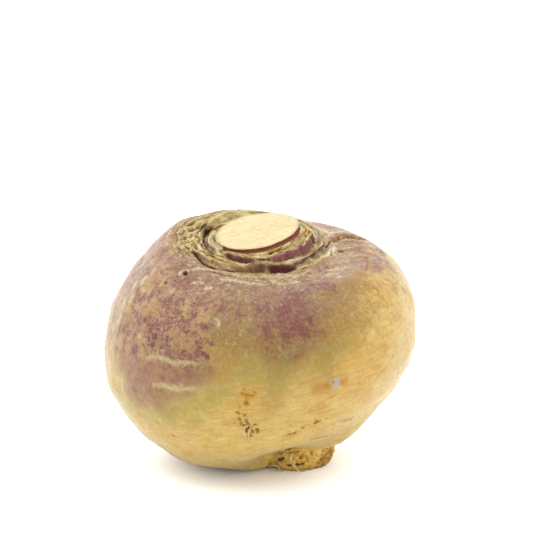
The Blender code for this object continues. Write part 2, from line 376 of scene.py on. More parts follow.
# %% Folds on the shoulder
mark(((0.90, 13), (1.1, 20), (1.35, 23), (1.62, 21), (1.85, 20), (2.15, 24)), 1.7, rise=-1.7,
     collar=0.9, brown=0.5, dark=0.25)
mark(((0.98, 14), (1.2, 20), (1.45, 21.5)), 0.7, rise=-0.4, dark=0.8)
mark(((0.90, 22), (1.15, 30), (1.5, 30), (1.8, 27)), 1.0, rise=0.3, rim=0.5)
mark(((0.95, 8), (1.15, 14), (1.45, 15.5)), 1.2, rise=0.3, purple=0.8)
mark(((1.1, 3), (1.25, 5), (1.4, 6)), 0.5, rise=0.2, ragged=0.5, pale=0.6)
mark(((1.6, 2), (1.84, 359), (2.1, 357)), 0.5, rise=0.2, ragged=0.6, pale=0.3)
mark(((0.97, 354), (1.2, 1), (1.4, 2), (1.62, 358), (1.86, 355), (2.2, 352)), 1.0, rise=-0.5,
     ragged=0.4, olive=0.6, brown=0.15)
mark(((1.15, 10), (1.4, 13), (1.65, 11), (1.9, 9)), 0.9, rise=-0.3, ragged=0.5, brown=0.35)
mark(((0.98, 357), (1.14, 1)), 0.5, rise=-0.3, dark=0.8)
for shift in (0, 4, 9):
    mark(((2.05, 15 - shift), (2.22, 9 - shift), (2.36, 3 - shift)), 0.5, rise=-0.3, purple=0.9)
mark(((1.45, 350), (1.60, 350), (1.77, 349), (1.88, 342), (1.99, 334)), 0.7, rise=-0.35, purple=1,
     brown=0.3)
print("marks so far:", len(marks))

# %% [markdown]
# ## Level scars and curls
#
# Two pale scars run level round the left front, where the swelling skin split and healed. Above
# them lie small curls of lifted skin with dark middles, and one faint purple ring. A healed scar
# shows more by its colour than by its form, so these lines are stained and hardly raised.

# %% Level scars, curls and a ring
mark(((3.27, 219.5), (3.21, 224), (3.21, 228), (3.26, 232), (3.23, 237), (3.25, 243)), 0.9,
     rise=0.1, ragged=0.4, pale=0.6, green=0.4)
mark(((3.68, 223), (3.65, 227), (3.68, 233), (3.66, 238), (3.67, 242)), 1.0, rise=0.1, ragged=0.4,
     pale=0.6, green=0.4)
mark(((3.63, 240), (3.62, 250), (3.60, 258)), 0.8, rise=0.08, green=0.8, pale=0.15)
mark(((3.46, 234), (3.44, 244), (3.38, 250)), 0.7, rise=-0.1, olive=0.8, purple=0.3)
mark(((2.3, 247), (2.4, 250), (2.55, 249.5)), 0.5, rise=0.1, pale=0.7)
mark(((1.52, 230.4), (1.57, 231.6)), 0.9, rise=0.1, pale=1, green=0.5)
mark(((1.47, 233.5), (1.48, 236.5)), 0.5, rise=0.1, pale=0.9)
mark(((1.62, 238), (1.56, 241), (1.53, 242.5)), 0.7, rise=0.1, pale=0.8)
mark(((1.52, 219.5), (1.44, 218.5), (1.36, 219), (1.31, 221), (1.35, 223)), 0.5, rise=0.4, pale=1)
mark(((1.43, 220.2), (1.36, 222.4)), 1.3, rise=-0.8, ragged=0.3, purple=1, dark=0.9)
mark(((1.70, 211), (1.80, 213), (1.92, 213.5), (1.86, 216)), 0.5, rise=0.3, pale=0.5)
mark(((1.78, 214.5), (1.86, 215)), 0.7, rise=-0.5, dark=0.6)
mark(((2.30, 221), (2.26, 227), (2.38, 233), (2.62, 235), (2.86, 231), (2.90, 224), (2.74, 219),
      (2.5, 217.5)), 0.7, rise=-0.15, ragged=0.5, purple=0.9, dark=0.25)
mark(((2.44, 240), (2.40, 246), (2.52, 251)), 0.5, rise=0.1, ragged=0.5, pale=0.3)
print("marks so far:", len(marks))

# %% [markdown]
# ## Pale blots and purple dabs
#
# On the left the purple is thin. The yellow comes through it in short upright blots, and darker
# dabs lie among them. Noise in the colour would scatter them anywhere, so each has a row in a
# table, and a loop stretches and tilts it.

# %% Pale blots and purple dabs on the left
for level, degrees, length, pale in ((1.75, 201, 0.15, 0.5), (2.05, 200, 0.2, 0.8),
                                     (2.25, 196, 0.2, 0.6), (2.45, 201, 0.18, 0.7),
                                     (2.6, 197, 0.2, 0.7), (2.85, 199, 0.25, 0.6),
                                     (2.5, 207, 0.12, 0.5), (3.05, 196, 0.2, 0.5),
                                     (2.2, 205, 0.1, 0.6), (1.5, 206, 0.12, 0.4),
                                     (2.95, 215, 0.06, 0.6), (1.95, 222, 0.06, 0.5)):
    mark(((level - length / 2, degrees - 1), (level, degrees), (level + length / 2, degrees + 0.5)),
         1.1, rise=0.1, ragged=0.4, pale=pale)
for level, degrees, length, tilt in ((2.05, 228, 0.3, -3), (2.95, 226, 0.15, 1), (2.72, 219, 0.1, 5),
                                     (2.62, 208, 0.12, 6), (1.72, 210, 0.1, 8), (2.0, 240, 0.1, -6),
                                     (2.4, 236, 0.2, -4), (3.05, 243, 0.1, 4), (2.8, 244, 0.12, 5)):
    mark(((level - length, degrees - tilt), (level, degrees + 0.6), (level + length, degrees + tilt)),
         0.9, rise=-0.1, ragged=0.4, purple=1)
print("marks so far:", len(marks))

# %% [markdown]
# ## The crack
#
# In front, side roots tore out of the belly one below the other and left an upright crack: a chain
# of brown slits with pale lips between them. Short separate lines look torn, where one long line
# would look cut.

# %% The crack and its lips
mark(((3.78, 257), (3.82, 259), (3.86, 262)), 0.6, rise=-0.4, ragged=0.5, brown=0.8)
mark(((3.76, 261.5), (3.84, 263)), 0.5, rise=-0.3, brown=0.6)
mark(((4.0, 258.6),), 0.9, rise=-0.5, brown=1)
mark(((4.06, 256),), 0.6, rise=-0.3, brown=0.5)
for stops, width, brown, dark in ((((4.16, 254.6), (4.26, 255.4)), 0.6, 0.8, 0),
                                  (((4.24, 257), (4.32, 257.4)), 0.5, 0.8, 0),
                                  (((4.34, 254.8), (4.44, 255.4)), 0.6, 0.9, 0),
                                  (((4.40, 257), (4.52, 257.4), (4.62, 258)), 0.6, 0.9, 0.1),
                                  (((4.48, 255), (4.60, 255.4)), 0.6, 0.8, 0),
                                  (((4.56, 256.2), (4.66, 256.4)), 0.5, 0.9, 0.1),
                                  (((4.66, 257.8), (4.74, 258)), 0.8, 1.0, 1.0),
                                  (((4.70, 256.2), (4.86, 256.4)), 0.5, 1.0, 0.3),
                                  (((4.80, 258.4), (4.90, 258.4)), 0.6, 1.0, 0.4),
                                  (((4.74, 260), (4.86, 260.4), (4.94, 259.8)), 0.7, 0.9, 0.2),
                                  (((4.90, 257.4), (5.06, 257.2)), 0.5, 0.8, 0),
                                  (((4.6, 259.6), (4.66, 261)), 0.5, 0.7, 0)):
    mark(stops, width, rise=-0.5, ragged=0.4, brown=brown, dark=dark)
for stops in (((4.28, 255.6), (4.42, 256.2), (4.56, 256.9)), ((4.34, 258.4), (4.5, 259), (4.62, 259)),
              ((4.64, 255.4), (4.8, 255.5), (5.0, 255.4)), ((4.74, 257.2), (4.9, 257.4)),
              ((4.78, 259.2), (4.92, 259.2), (5.04, 258.6))):
    mark(stops, 0.4, rise=0.35, pale=0.5)
mark(((4.24, 258), (4.20, 261.5), (4.30, 264)), 0.6, rise=0.15, orange=1)
print("marks so far:", len(marks))

# %% [markdown]
# ## Pits under the belly
#
# Finer side roots broke off all over the lower half. A mark with a single stop is a round spot,
# and sinking it a little makes a pit.

# %% Pits of the finer roots
for level, degrees, width, brown, dark in ((5.15, 283.2, 0.9, 1, 0.1), (5.12, 284.6, 0.6, 0.9, 0),
                                           (5.18, 277.6, 0.7, 0.8, 0), (5.34, 270.8, 0.7, 0.6, 0),
                                           (5.33, 272.2, 0.8, 0.9, 0), (5.32, 274.2, 0.8, 1, 0),
                                           (4.92, 273.0, 0.6, 0, 0.3), (5.25, 237.5, 0.8, 0.4, 0),
                                           (5.10, 287.5, 0.5, 0.5, 0), (5.52, 291.0, 0.5, 0.4, 0),
                                           (5.66, 299.0, 0.8, 0.7, 0), (5.74, 302.0, 0.7, 0.8, 0),
                                           (5.62, 296.0, 0.5, 0.4, 0), (4.85, 226.0, 0.9, 0.3, 0)):
    mark(((level, degrees),), width, rise=-0.4, ragged=0.4, brown=brown, dark=dark)
mark(((6.03, 280), (6.15, 284), (6.33, 288.5), (6.46, 293)), 0.7, rise=-0.5, brown=0.8)
mark(((5.92, 281), (6.02, 286), (6.2, 291)), 0.6, rise=0.3, pale=0.4)
mark(((5.42, 276.5), (5.48, 274), (5.56, 270)), 0.5, rise=-0.3, brown=0.3)
print("marks so far:", len(marks))

# %% [markdown]
# ## The grey star
#
# A small wound in front, to the right, healed into a grey star with an orange halo. Two lines that
# cross make the star, and wide soft ones beside it make the halo.

# %% The grey star and its halo
mark(((3.92, 293.3), (4.04, 292.8), (4.20, 292.1)), 0.75, rise=0.25, ragged=0.1, grey=1)
mark(((4.0, 290.6), (4.02, 292.5), (4.0, 294.6)), 0.6, rise=0.15, grey=0.8)
mark(((3.98, 291.6),), 0.5, rise=-0.3, dark=0.5)
mark(((4.05, 283), (4.02, 287), (4.05, 291)), 1.9, orange=1, brown=0.35)
mark(((4.10, 294), (4.06, 298)), 1.3, orange=0.8, brown=0.3)
mark(((3.94, 288.6), (4.04, 289.4)), 0.6, rise=-0.2, brown=0.6)
print("marks so far:", len(marks))

# %% [markdown]
# ## Marks on the stub
#
# The taproot was broken off short. The belly hangs over it, and the brown line where they meet is
# painted shade in the crease.
# A round scar shows where a side root grew, and the broken end is rough and brown. The end could
# be torn open as a mesh of its own, but pits and splits in one skin keep it closed and simple.

# %% Marks on the stub
# Painted shade: the brown crease line under the belly's overhang.
mark(((7.46, 241), (7.44, 246), (7.6, 250), (7.96, 255), (8.01, 264), (7.87, 273), (7.66, 281),
      (7.6, 289), (7.5, 295), (7.7, 308)), 0.7, rise=-0.5, brown=0.7)
mark(((7.9, 252), (8.02, 260), (7.96, 268)), 0.7, rise=-0.3, ragged=0.5, brown=1, dark=0.4)
mark(((7.49, 293.5), (7.33, 299), (7.3, 308)), 0.5, rise=-0.3, brown=0.6)
mark(((8.54, 269), (8.40, 273), (8.41, 279.5), (8.58, 285), (8.84, 284), (8.88, 278), (8.74, 272),
      (8.54, 269)), 0.6, rise=0.35, ragged=0.3, brown=0.6)
mark(((8.57, 275), (8.61, 280)), 0.9, rise=-0.5, brown=1)
mark(((8.98, 269), (9.09, 274.8), (9.07, 281.2)), 0.7, rise=-0.6, brown=1, dark=0.8)
mark(((9.01, 257), (9.07, 262), (9.01, 267)), 0.7, rise=-0.5, brown=1, dark=0.5)
mark(((9.34, 233), (9.29, 241), (9.15, 249)), 0.8, rise=-0.6, brown=1, dark=0.9)
mark(((8.62, 243), (8.61, 249), (8.54, 253.5), (8.44, 256.5)), 0.7, rise=-0.4, ragged=0.4, brown=1,
     dark=0.5)
mark(((8.43, 290), (8.36, 295)), 0.8, rise=-0.3, brown=0.7)
mark(((8.1, 246), (8.2, 252), (8.14, 259)), 0.5, rise=-0.3, ragged=0.5, brown=0.7)
mark(((8.3, 243), (8.36, 250), (8.28, 256), (8.2, 266)), 0.5, rise=0.3, ragged=0.4, pale=0.5)
mark(((8.3, 262), (8.26, 270), (8.1, 280)), 0.6, rise=-0.3, ragged=0.5, brown=0.6)
for level, degrees in ((9.2, 301), (9.0, 306), (8.8, 311), (8.66, 318), (8.55, 327), (9.4, 310),
                       (9.2, 321), (8.9, 330), (9.5, 300), (8.45, 336)):
    mark(((level, degrees),), 1.4, rise=-0.3, ragged=0.6, brown=0.8)
print("marks noted:", len(marks))

# %% [markdown]
# ## A spun blank
#
# Blender can spin a chain of points into a closed skin in one operation, so the blank is one
# profile with a point for every ring, and each point keeps its station in a layer of its own. The
# rings stand a quarter of a millimetre apart on the crown and one and a half to two millimetres
# apart on the belly, because the faces are worth most where the forms are smallest.

# %% Spin the blank
# Station where a stretch starts, and how many rings it has.
RINGS = ((-2, 9), (-1, 7), (0, 60), (1, 22), (2, 14), (3, 16), (4, 13), (5, 13), (6, 14), (7, 15),
         (8, 10), (9, 8))
SIDES = 384
WELD = 0.005 * MM

stations = [float(CUT_MIDDLE)]
for first, rings in RINGS:
    stations += [first + (k + 1) / rings for k in range(rings)]
stations = np.array(stations)

blank = bmesh.new()
station_layer = blank.verts.layers.float.new("station")
profile = smooth_skin(stations, np.full(len(stations), 0.0))
profile[0, 0] = 0
chain = [blank.verts.new((x, 0, z)) for x, _, z in profile]
for vert, station in zip(chain, stations):
    vert[station_layer] = station
tip = blank.verts.new((0, 0, profile[-1, 2]))
tip[station_layer] = stations[-1]
for upper, lower in zip(chain, chain[1:] + [tip]):
    blank.edges.new((upper, lower))
bmesh.ops.spin(blank, geom=blank.verts[:] + blank.edges[:], cent=(0, 0, 0), axis=(0, 0, 1),
               angle=TAU, steps=SIDES, use_merge=True)
bmesh.ops.remove_doubles(blank, verts=blank.verts, dist=WELD)
print("blank:", len(blank.verts), "points,", len(blank.faces), "faces")

# %% [markdown]
# ## Where every point belongs
#
# Each point knows its station, and its angle round the axis follows from where the spin left it.
# These two numbers are the root's own map: everything below is placed by them.

# %% Read the map off the blank
def map_of(mesh):
    """Station, angle and bare place in mm of every point."""
    mesh.verts.ensure_lookup_table()
    station = np.array([vert[station_layer] for vert in mesh.verts])
    angle = np.array([math.atan2(vert.co.y, vert.co.x) for vert in mesh.verts])
    return station, angle, smooth_skin(station, angle) / MM


station, angle, bare_mm = map_of(blank)
print("stations run from", station.min(), "to", station.max())

# %% [markdown]
# ## Smaller faces under the marks
#
# A line half a millimetre wide is lost between points more than a millimetre apart. More rings all
# over would cost too many faces, so only the edges near a narrow mark are split in half. The crown
# is left alone, because its rings stand close already.

# %% Split the edges near narrow marks
COARSE_FROM = 0.95
BROAD_MARK = 1.5
FINE_REACH = 1.2

near = np.zeros(len(station), bool)
for stops, width, *_ in marks:
    if width < BROAD_MARK:
        line = line_through(stops)
        middle = line.mean(axis=0)
        reach = 2 * width + FINE_REACH
        radius = np.linalg.norm(line - middle, axis=1).max() + reach
        picked = np.flatnonzero((np.linalg.norm(bare_mm - middle, axis=1) < radius)
                                & (station > COARSE_FROM))
        away = np.linalg.norm(bare_mm[picked, None] - line[None], axis=2).min(axis=1)
        near[picked[away < reach]] = True
marked_edges = [edge for edge in blank.edges if all(near[vert.index] for vert in edge.verts)]
bmesh.ops.subdivide_edges(blank, edges=marked_edges, cuts=1, use_grid_fill=True)

station, angle, bare_mm = map_of(blank)
outwards = facing(station, angle)
outwards *= np.sign((outwards * (bare_mm - bare_mm.mean(axis=0))).sum(axis=1).mean())
out_mm = np.hypot(bare_mm[:, 0], bare_mm[:, 1])
print("edges split:", len(marked_edges), "so there are", len(station), "points now")

# %% [markdown]
# ## Small unevenness
#
# Nothing that grows is quite smooth. Adding up a couple of dozen sine waves that run in random
# directions gives a soft, patternless field that can be read at any place on the skin. Its seed is
# fixed, so the root comes out the same each time. The first field, the wear, is for ragged edges.

# %% A soft random field
WAVES = 24


def uneven(places, size, seed):
    """A smooth random field, mostly from -1 to 1, with waves about `size` long."""
    draws = np.random.default_rng(seed)
    waves = draws.normal(size=(3, WAVES))
    waves *= TAU / size * draws.uniform(0.6, 1.5, WAVES) / np.linalg.norm(waves, axis=0)
    return np.sin(places @ waves + draws.uniform(0, TAU, WAVES)).sum(axis=1) / math.sqrt(WAVES)


def soft_step(value, start, end):
    """0 before start and 1 after end, with a smooth change between."""
    share = np.clip((value - start) / (end - start), 0, 1)
    return share * share * (3 - 2 * share)


wear = uneven(bare_mm, 1.8, 5)
print("wear runs from", wear.min().round(2), "to", wear.max().round(2))

# %% [markdown]
# ## Leaf scars
#
# Every leaf that dropped left a curved ledge round the crown: a flat tread, a pale rim, and a steep
# purple riser down to the next tread. Each scar is an arc with its own middle, width, radius and
# step. Where a step is below zero it climbs: on the left, one that falls and one that climbs make
# the moat beside the cut. A table of arcs and one formula take the place of sculpting each scar.

# %% Leaf scars
# Angle of the middle and half the width in degrees, then mm: radius, growth from the middle to the
# end, and step. Last, how purple the riser is.
LEAF_SCARS = (
    (248, 22, 21.2, 1.8, 2.2, 0.9),
    (328, 48, 22.2, 0.0, 3.0, 0.9),
    (14, 30, 25.2, 2.4, 1.8, 0.3),
    (66, 36, 24.6, -0.8, 1.8, 0.4),
    (162, 56, 21.4, -2.4, 1.7, 0.5),
    (162, 56, 23.4, -2.2, -1.6, 0.0),
    (222, 28, 29.0, 0.6, 1.6, 0.2),
    (258, 26, 27.6, -1.4, 2.0, 0.2),
    (284, 24, 26.6, 0.0, 2.2, 0.2),
    (336, 44, 26.0, 0.6, 2.2, 0.1),
    (38, 26, 28.8, 0.0, 1.8, 0.3),
    (95, 34, 29.2, 0.0, 1.7, 0.2),
    (150, 28, 28.8, 0.0, 1.4, 0.2),
    (184, 22, 33.0, 0.0, 1.3, 0.1),
    (160, 26, 37.5, 0.0, 1.1, 0.1),
)
print("leaf scars:", len(LEAF_SCARS))

# %% [markdown]
# ## Steps from arcs
#
# Across a scar the skin drops in one soft step, and the step fades towards both ends of its arc and
# away from it. Short waves along the arc keep it from looking drawn with a compass. The same
# distance from the arc also tells where the riser and its rim are, so their stains always fit.

# %% Raise the leaf scars
RISER_WIDTH = 0.3
SCAR_REACH = 1.9
OVERSHOOT = 1.15
WANDER = ((0.22, 9, 1), (0.12, 23, 2))
RISER_STAIN = 0.6
CREST_AWAY, CREST_WIDTH = 0.8, 0.28


def leaf_scars(out, angle):
    """Height in mm that the scars add, how much each place is a riser, and how much a rim."""
    height, riser, rim = (np.zeros_like(out) for _ in range(3))
    for number, (middle, half_width, radius, growth, step, purple) in enumerate(LEAF_SCARS):
        turn = turned_from(angle, middle) / math.radians(half_width)
        fade = np.clip(1 - turn**2, 0, 1)**0.5
        wander = sum(size * np.sin(waves * angle + shift * number) for size, waves, shift in WANDER)
        across = out - radius - growth * np.clip(turn, -1, 1) - wander
        reach = fade * np.exp(-(across / SCAR_REACH)**2)
        height -= step / 2 * reach * np.tanh(across / RISER_WIDTH) * OVERSHOOT
        riser = np.maximum(riser, purple * fade * np.exp(-(across / RISER_STAIN)**2))
        crest = across + math.copysign(CREST_AWAY, step)
        rim = np.maximum(rim, fade * np.exp(-(crest / CREST_WIDTH)**2))
    return height, riser, rim


on_crown = (station >= 0) & (station < 2)
scar_height, riser, rim = (np.where(on_crown, value, 0) for value in leaf_scars(out_mm, angle))
print("scars rise and fall, mm:", scar_height.min().round(2), scar_height.max().round(2))

# %% [markdown]
# ## Drawing the marks
#
# Each mark is measured against the skin in space and not on the map, so it keeps its width wherever
# it lies. For every point near a line, this finds the nearest place on the line and how far off it
# is. Points further away are left out at once, which saves most of the work.

# %% How far a point is from a line
STAINS = ("purple", "olive", "green", "orange", "net", "collar", "riser", "wall", "rim", "brown",
          "pale", "dark", "grey", "gold", "stub")
lift = np.zeros_like(station)
stain = {name: np.zeros_like(station) for name in STAINS}


def add_stain(name, amount, where=slice(None)):
    """Deepens a stain to this amount where it is weaker."""
    stain[name][where] = np.maximum(stain[name][where], amount)


def close_to(line, reach):
    """Which points lie within reach of a line, how far away in mm, and the share along it."""
    middle = line.mean(axis=0)
    radius = np.linalg.norm(line - middle, axis=1).max() + reach
    picked = np.flatnonzero(np.linalg.norm(bare_mm - middle, axis=1) < radius)
    places, starts = bare_mm[picked, None, :], line[None, :]
    if len(line) == 1:
        return picked, np.linalg.norm(places - starts, axis=2)[:, 0], np.full(len(picked), 0.5)
    runs = line[1:] - line[:-1]
    along = ((places - starts[:, :-1]) * runs).sum(axis=2) / (runs * runs).sum(axis=1)
    along = np.clip(along, 0, 1)
    away = np.linalg.norm(places - starts[:, :-1] - along[:, :, None] * runs, axis=2)
    nearest = away.argmin(axis=1)
    row = np.arange(len(picked))
    return picked, away[row, nearest], (nearest + along[row, nearest]) / len(runs)


print("stains kept at every point:", len(stain))

# %% [markdown]
# ## One stroke for each mark
#
# A stroke is highest along its line, falls off to both sides like a bell and thins towards its
# ends, and the wear makes its edge ragged. Its stain is wider than its relief, as dirt spreads
# round a crack. All the marks go through this one function.

# %% Draw every mark
STROKE_REACH = 4
THINNEST, TAPER = 0.02, 0.35
STAIN_SPREAD = 1.5


def draw(stops, width, rise, ragged, stains):
    """Raises or sinks the skin along a line, in mm, and stains it."""
    picked, away, share = close_to(line_through(stops), STROKE_REACH * width)
    thin = np.clip(4 * share * (1 - share), THINNEST, 1)**TAPER
    away = away * (1 + ragged * wear[picked])
    stroke = thin * np.exp(-(away / (width * thin))**2)
    lift[picked] += rise * stroke
    for name, strength in stains.items():
        add_stain(name, strength * np.clip(STAIN_SPREAD * stroke, 0, 1), picked)


for noted in marks:
    draw(*noted)
print("relief of the marks, mm:", lift.min().round(2), "to", lift.max().round(2))

# %% [markdown]
# ## The crown's collars
#
# The treads between the scars are dry, olive and corky. Their rims dried pale and their risers
# stayed purple, and the wall under the cut is a darker brown. Painting all this would tie it to
# one mesh, so it is worked out from the station and the angle. The collar reaches further down at
# the back, where the oldest leaves stood.

# %% Stain the collars, risers, rims and wall
COLLAR_END, COLLAR_FURTHER = 0.66, 0.30
FADE_INSIDE, FADE_OUTSIDE = 0.3, 0.4
BACK_THINNING = 0.3
OLDEST_LEAVES, OLDEST_SPREAD = 176, math.radians(40)

at_the_back = np.exp(-(turned_from(angle, OLDEST_LEAVES) / OLDEST_SPREAD)**2)
add_stain("riser", riser)
add_stain("rim", rim * np.clip(0.8 + 0.5 * uneven(bare_mm, 3.5, 11), 0, 1))
stain["wall"] += soft_step(-station, 0.03, 0.2) * (station > CUT_TOP)
collar_end = COLLAR_END + COLLAR_FURTHER * at_the_back + 0.10 * uneven(bare_mm, 5, 12)
collar_edge = soft_step(station, collar_end - FADE_INSIDE,
                        collar_end + FADE_OUTSIDE * (1 + at_the_back))
stain["collar"] += (station >= 0) * (1 - collar_edge) * (1 - BACK_THINNING * at_the_back)
print("corky collar covers", round(100 * float((stain["collar"] > 0.5).mean())), "% of the points")

# %% [markdown]
# ## Ribs on the last riser
#
# The riser at the right front is finely ribbed, because the fibres of its leaf ran through it side
# by side. A sine wave round the axis gives evenly spaced ribs, with dark grooves between them.

# %% Rib the last riser
RIBS, RIB_HEIGHT, GROOVE_STAIN = 120, 0.16, 0.6
RIBBED_MIDDLE, RIBBED_SPREAD = 335, math.radians(38)
RIBBED_RADIUS, RIBBED_WIDTH = 26.2, 0.5

ribbed = on_crown * np.exp(-(turned_from(angle, RIBBED_MIDDLE) / RIBBED_SPREAD)**2
                           - ((out_mm - RIBBED_RADIUS) / RIBBED_WIDTH)**2)
ribs = np.sin(RIBS * angle)
lift += RIB_HEIGHT * ribbed * ribs
add_stain("dark", GROOVE_STAIN * ribbed * soft_step(-ribs, 0, 0.7))
print("ribbed points:", int((ribbed > 0.5).sum()))

# %% [markdown]
# ## Rough and wrinkled cork
#
# Dry cork is rough all over the crown. Behind the cut it has shrunk into wrinkles that follow the
# arcs of the leaves. Squeezing the map towards the axis before reading the random field stretches
# its waves round the crown, so the same field gives both.

# %% Roughen and wrinkle the cork
ARC_SQUEEZE = 5
WRINKLED_STATION, WRINKLED_LENGTH = 0.82, 0.30
WRINKLE_HEIGHT = 0.35


def round_axis(radius, height):
    """Places on a drum round the root's axis, for waves that run round it."""
    return np.stack([np.cos(angle) * radius, np.sin(angle) * radius, height], axis=1)


rough = soft_step(station, 0.0, 0.1) * (1 - soft_step(station, 0.8, 1.5))
along_arcs = round_axis(ARC_SQUEEZE, out_mm)
lift += rough * (0.10 * uneven(bare_mm, 2.6, 21) + 0.13 * uneven(along_arcs, 1.5, 22))
wrinkled = at_the_back * np.exp(-((station - WRINKLED_STATION) / WRINKLED_LENGTH)**2)
wrinkle = np.abs(uneven(along_arcs, 2.2, 23))
lift += WRINKLE_HEIGHT * wrinkled * (0.5 - wrinkle)
add_stain("brown", 0.5 * wrinkled * soft_step(wrinkle, 0.7, 1.2))
add_stain("rim", 0.8 * wrinkled * (1 - soft_step(wrinkle, 0.05, 0.3)))
print("wrinkled points:", int((wrinkled > 0.5).sum()))

# %% [markdown]
# ## Slow and fine unevenness
#
# The belly is almost smooth, with faint wrinkles that run level round it and get deeper towards
# the stub. Each layer of waves has its own height and length, and starts at its own station, so a
# table and a loop lay them on.

# %% Waves down the body
DRUM_RADIUS = 14
level_mm = round_axis(DRUM_RADIUS, bare_mm[:, 2])
# Where the waves are read, their height in mm, the stations where they start and are full, the
# length of a wave in mm, and the seed.
BODY_WAVES = (
    (bare_mm, 0.20, 0.6, 1.4, 17, 41),
    (bare_mm, 0.07, 0.6, 1.4, 6, 42),
    (level_mm, 0.05, 3.5, 6.5, 2.2, 43),
    (level_mm, 0.09, 5.0, 7.5, 1.6, 44),
    (bare_mm, 0.22, 6.8, 8.3, 3.2, 33),
)

for places, height, first, full, length, seed in BODY_WAVES:
    lift += height * soft_step(station, first, full) * uneven(places, length, seed)
print("relief with the waves, mm:", lift.min().round(2), "to", lift.max().round(2))

# %% [markdown]
# ## The stub's broken end and the knife's track
#
# At the right front the stub broke rather than being cut, so its end is lumpy and brown. The disc
# above was cut with a knife, which left faint ridges across it. They are the same waves, squeezed
# so that they run in the direction of the stroke.

# %% Break the stub and cut the disc
BROKEN_MIDDLE, BROKEN_SPREAD = 325, math.radians(22)
BROKEN_HEIGHT = 0.3
KNIFE_HEIGHT, KNIFE_SQUEEZE = 0.08, (0.25, 1, 1)

broken_end = soft_step(station, 8.0, 8.8)
broken_end = broken_end * np.exp(-(turned_from(angle, BROKEN_MIDDLE) / BROKEN_SPREAD)**2)
lift += BROKEN_HEIGHT * broken_end * uneven(bare_mm, 2.0, 32)
add_stain("brown", 0.8 * broken_end * soft_step(uneven(bare_mm, 2.4, 31), -0.6, 0.5))
lift *= station > CUT_TOP
knife = (station <= CUT_TOP) * KNIFE_HEIGHT * uneven(bare_mm * KNIFE_SQUEEZE, 3.0, 45)
print("whole relief, mm:", lift.min().round(2), "to", lift.max().round(2))

# %% [markdown]
# ## Where the sun reached
#
# A rutabaga grows half out of the soil. The part in the light turned purple, the part below stayed
# yellow, and a band of olive and green lies between. How far down the purple comes changes round
# the root, so each band is written as a line on the map: a few stops, with even slopes between.

# %% Bands of colour round the root
# Degrees round the root, and the station where the purple ends there.
PURPLE_ENDS = ((0, 2.2), (30, 2.4), (60, 3.0), (100, 3.4), (140, 3.3), (170, 3.2), (190, 3.2),
               (200, 3.5), (212, 4.0), (225, 4.1), (235, 4.0), (243, 3.6), (250, 3.0), (262, 2.7),
               (272, 3.1), (288, 3.1), (296, 2.6), (306, 2.2), (318, 1.7), (328, 1.8), (345, 2.2),
               (360, 2.2))
# Degrees, then the station, half the length and the depth of the olive band.
OLIVE_BAND = ((0, 1.4, 0.8, 0.5), (60, 2.6, 1.0, 0.6), (170, 3.2, 0.9, 0.5), (200, 3.7, 0.4, 0.2),
              (222, 3.9, 0.4, 0.25), (240, 3.1, 0.9, 0.6), (254, 2.5, 1.2, 0.9),
              (270, 2.7, 1.2, 1.0), (290, 2.6, 1.2, 1.0), (304, 2.2, 1.1, 0.9),
              (316, 1.9, 0.9, 0.8), (330, 1.6, 0.9, 0.5), (345, 1.6, 0.9, 0.3), (360, 1.5, 0.9, 0.4))
# The same for the yellow-green band below it.
GREEN_BAND = ((0, 2.6, 0.5, 0.1), (90, 3.7, 0.4, 0.6), (185, 4.0, 0.5, 0.7), (205, 4.3, 0.4, 0.9),
              (220, 4.35, 0.35, 1.0), (235, 4.15, 0.3, 0.9), (247, 3.8, 0.35, 0.8),
              (262, 3.5, 0.35, 1.1), (280, 3.4, 0.35, 0.9), (300, 3.2, 0.35, 0.5),
              (320, 2.7, 0.6, 0.2), (335, 2.4, 0.6, 0.1), (360, 2.6, 0.5, 0.1))
print("stops in the bands:", len(PURPLE_ENDS), len(OLIVE_BAND), len(GREEN_BAND))

# %% [markdown]
# ## Fill the bands
#
# A band is strongest along its line and fades above and below it, and a slow drift moves all of
# them a little up and down, so that no edge runs as evenly as the stops do.

# %% Fill the bands
MOST_PURPLE = 0.85
FADE_ABOVE, FADE_BELOW = 0.75, 0.55


def round_root(rows):
    """The columns of a table by degrees, read at every point's own angle."""
    degrees = np.degrees(angle) % 360
    return [np.interp(degrees, [row[0] for row in rows], column) for column in list(zip(*rows))[1:]]


def band(rows):
    """A soft band round the root: its own depth along the middle, fading above and below."""
    middle, half_length, depth = round_root(rows)
    return depth * np.exp(-((station - middle - drift) / half_length)**2)


drift = 0.14 * uneven(bare_mm, 22, 51) + 0.06 * uneven(bare_mm, 7, 52)
purple_end = round_root(PURPLE_ENDS)[0] + drift
zones = {"purple": MOST_PURPLE * (1 - soft_step(station, purple_end - FADE_ABOVE,
                                                purple_end + FADE_BELOW)),
         "olive": band(OLIVE_BAND), "green": band(GREEN_BAND),
         "orange": 0.4 * soft_step(uneven(bare_mm, 26, 54), 0, 1.2) * soft_step(station, 3, 4)}
for name, zone in zones.items():
    print(name, "over half strong on", round(100 * float((zone > 0.5).mean())), "% of the points")

# %% [markdown]
# ## Spots that push the bands about
#
# No band on a real root is even. Where a leaf shaded it or a stone touched it, there is more or less
# of a colour. Each row is one such spot, soft at its edge, and it adds to a band or takes away.

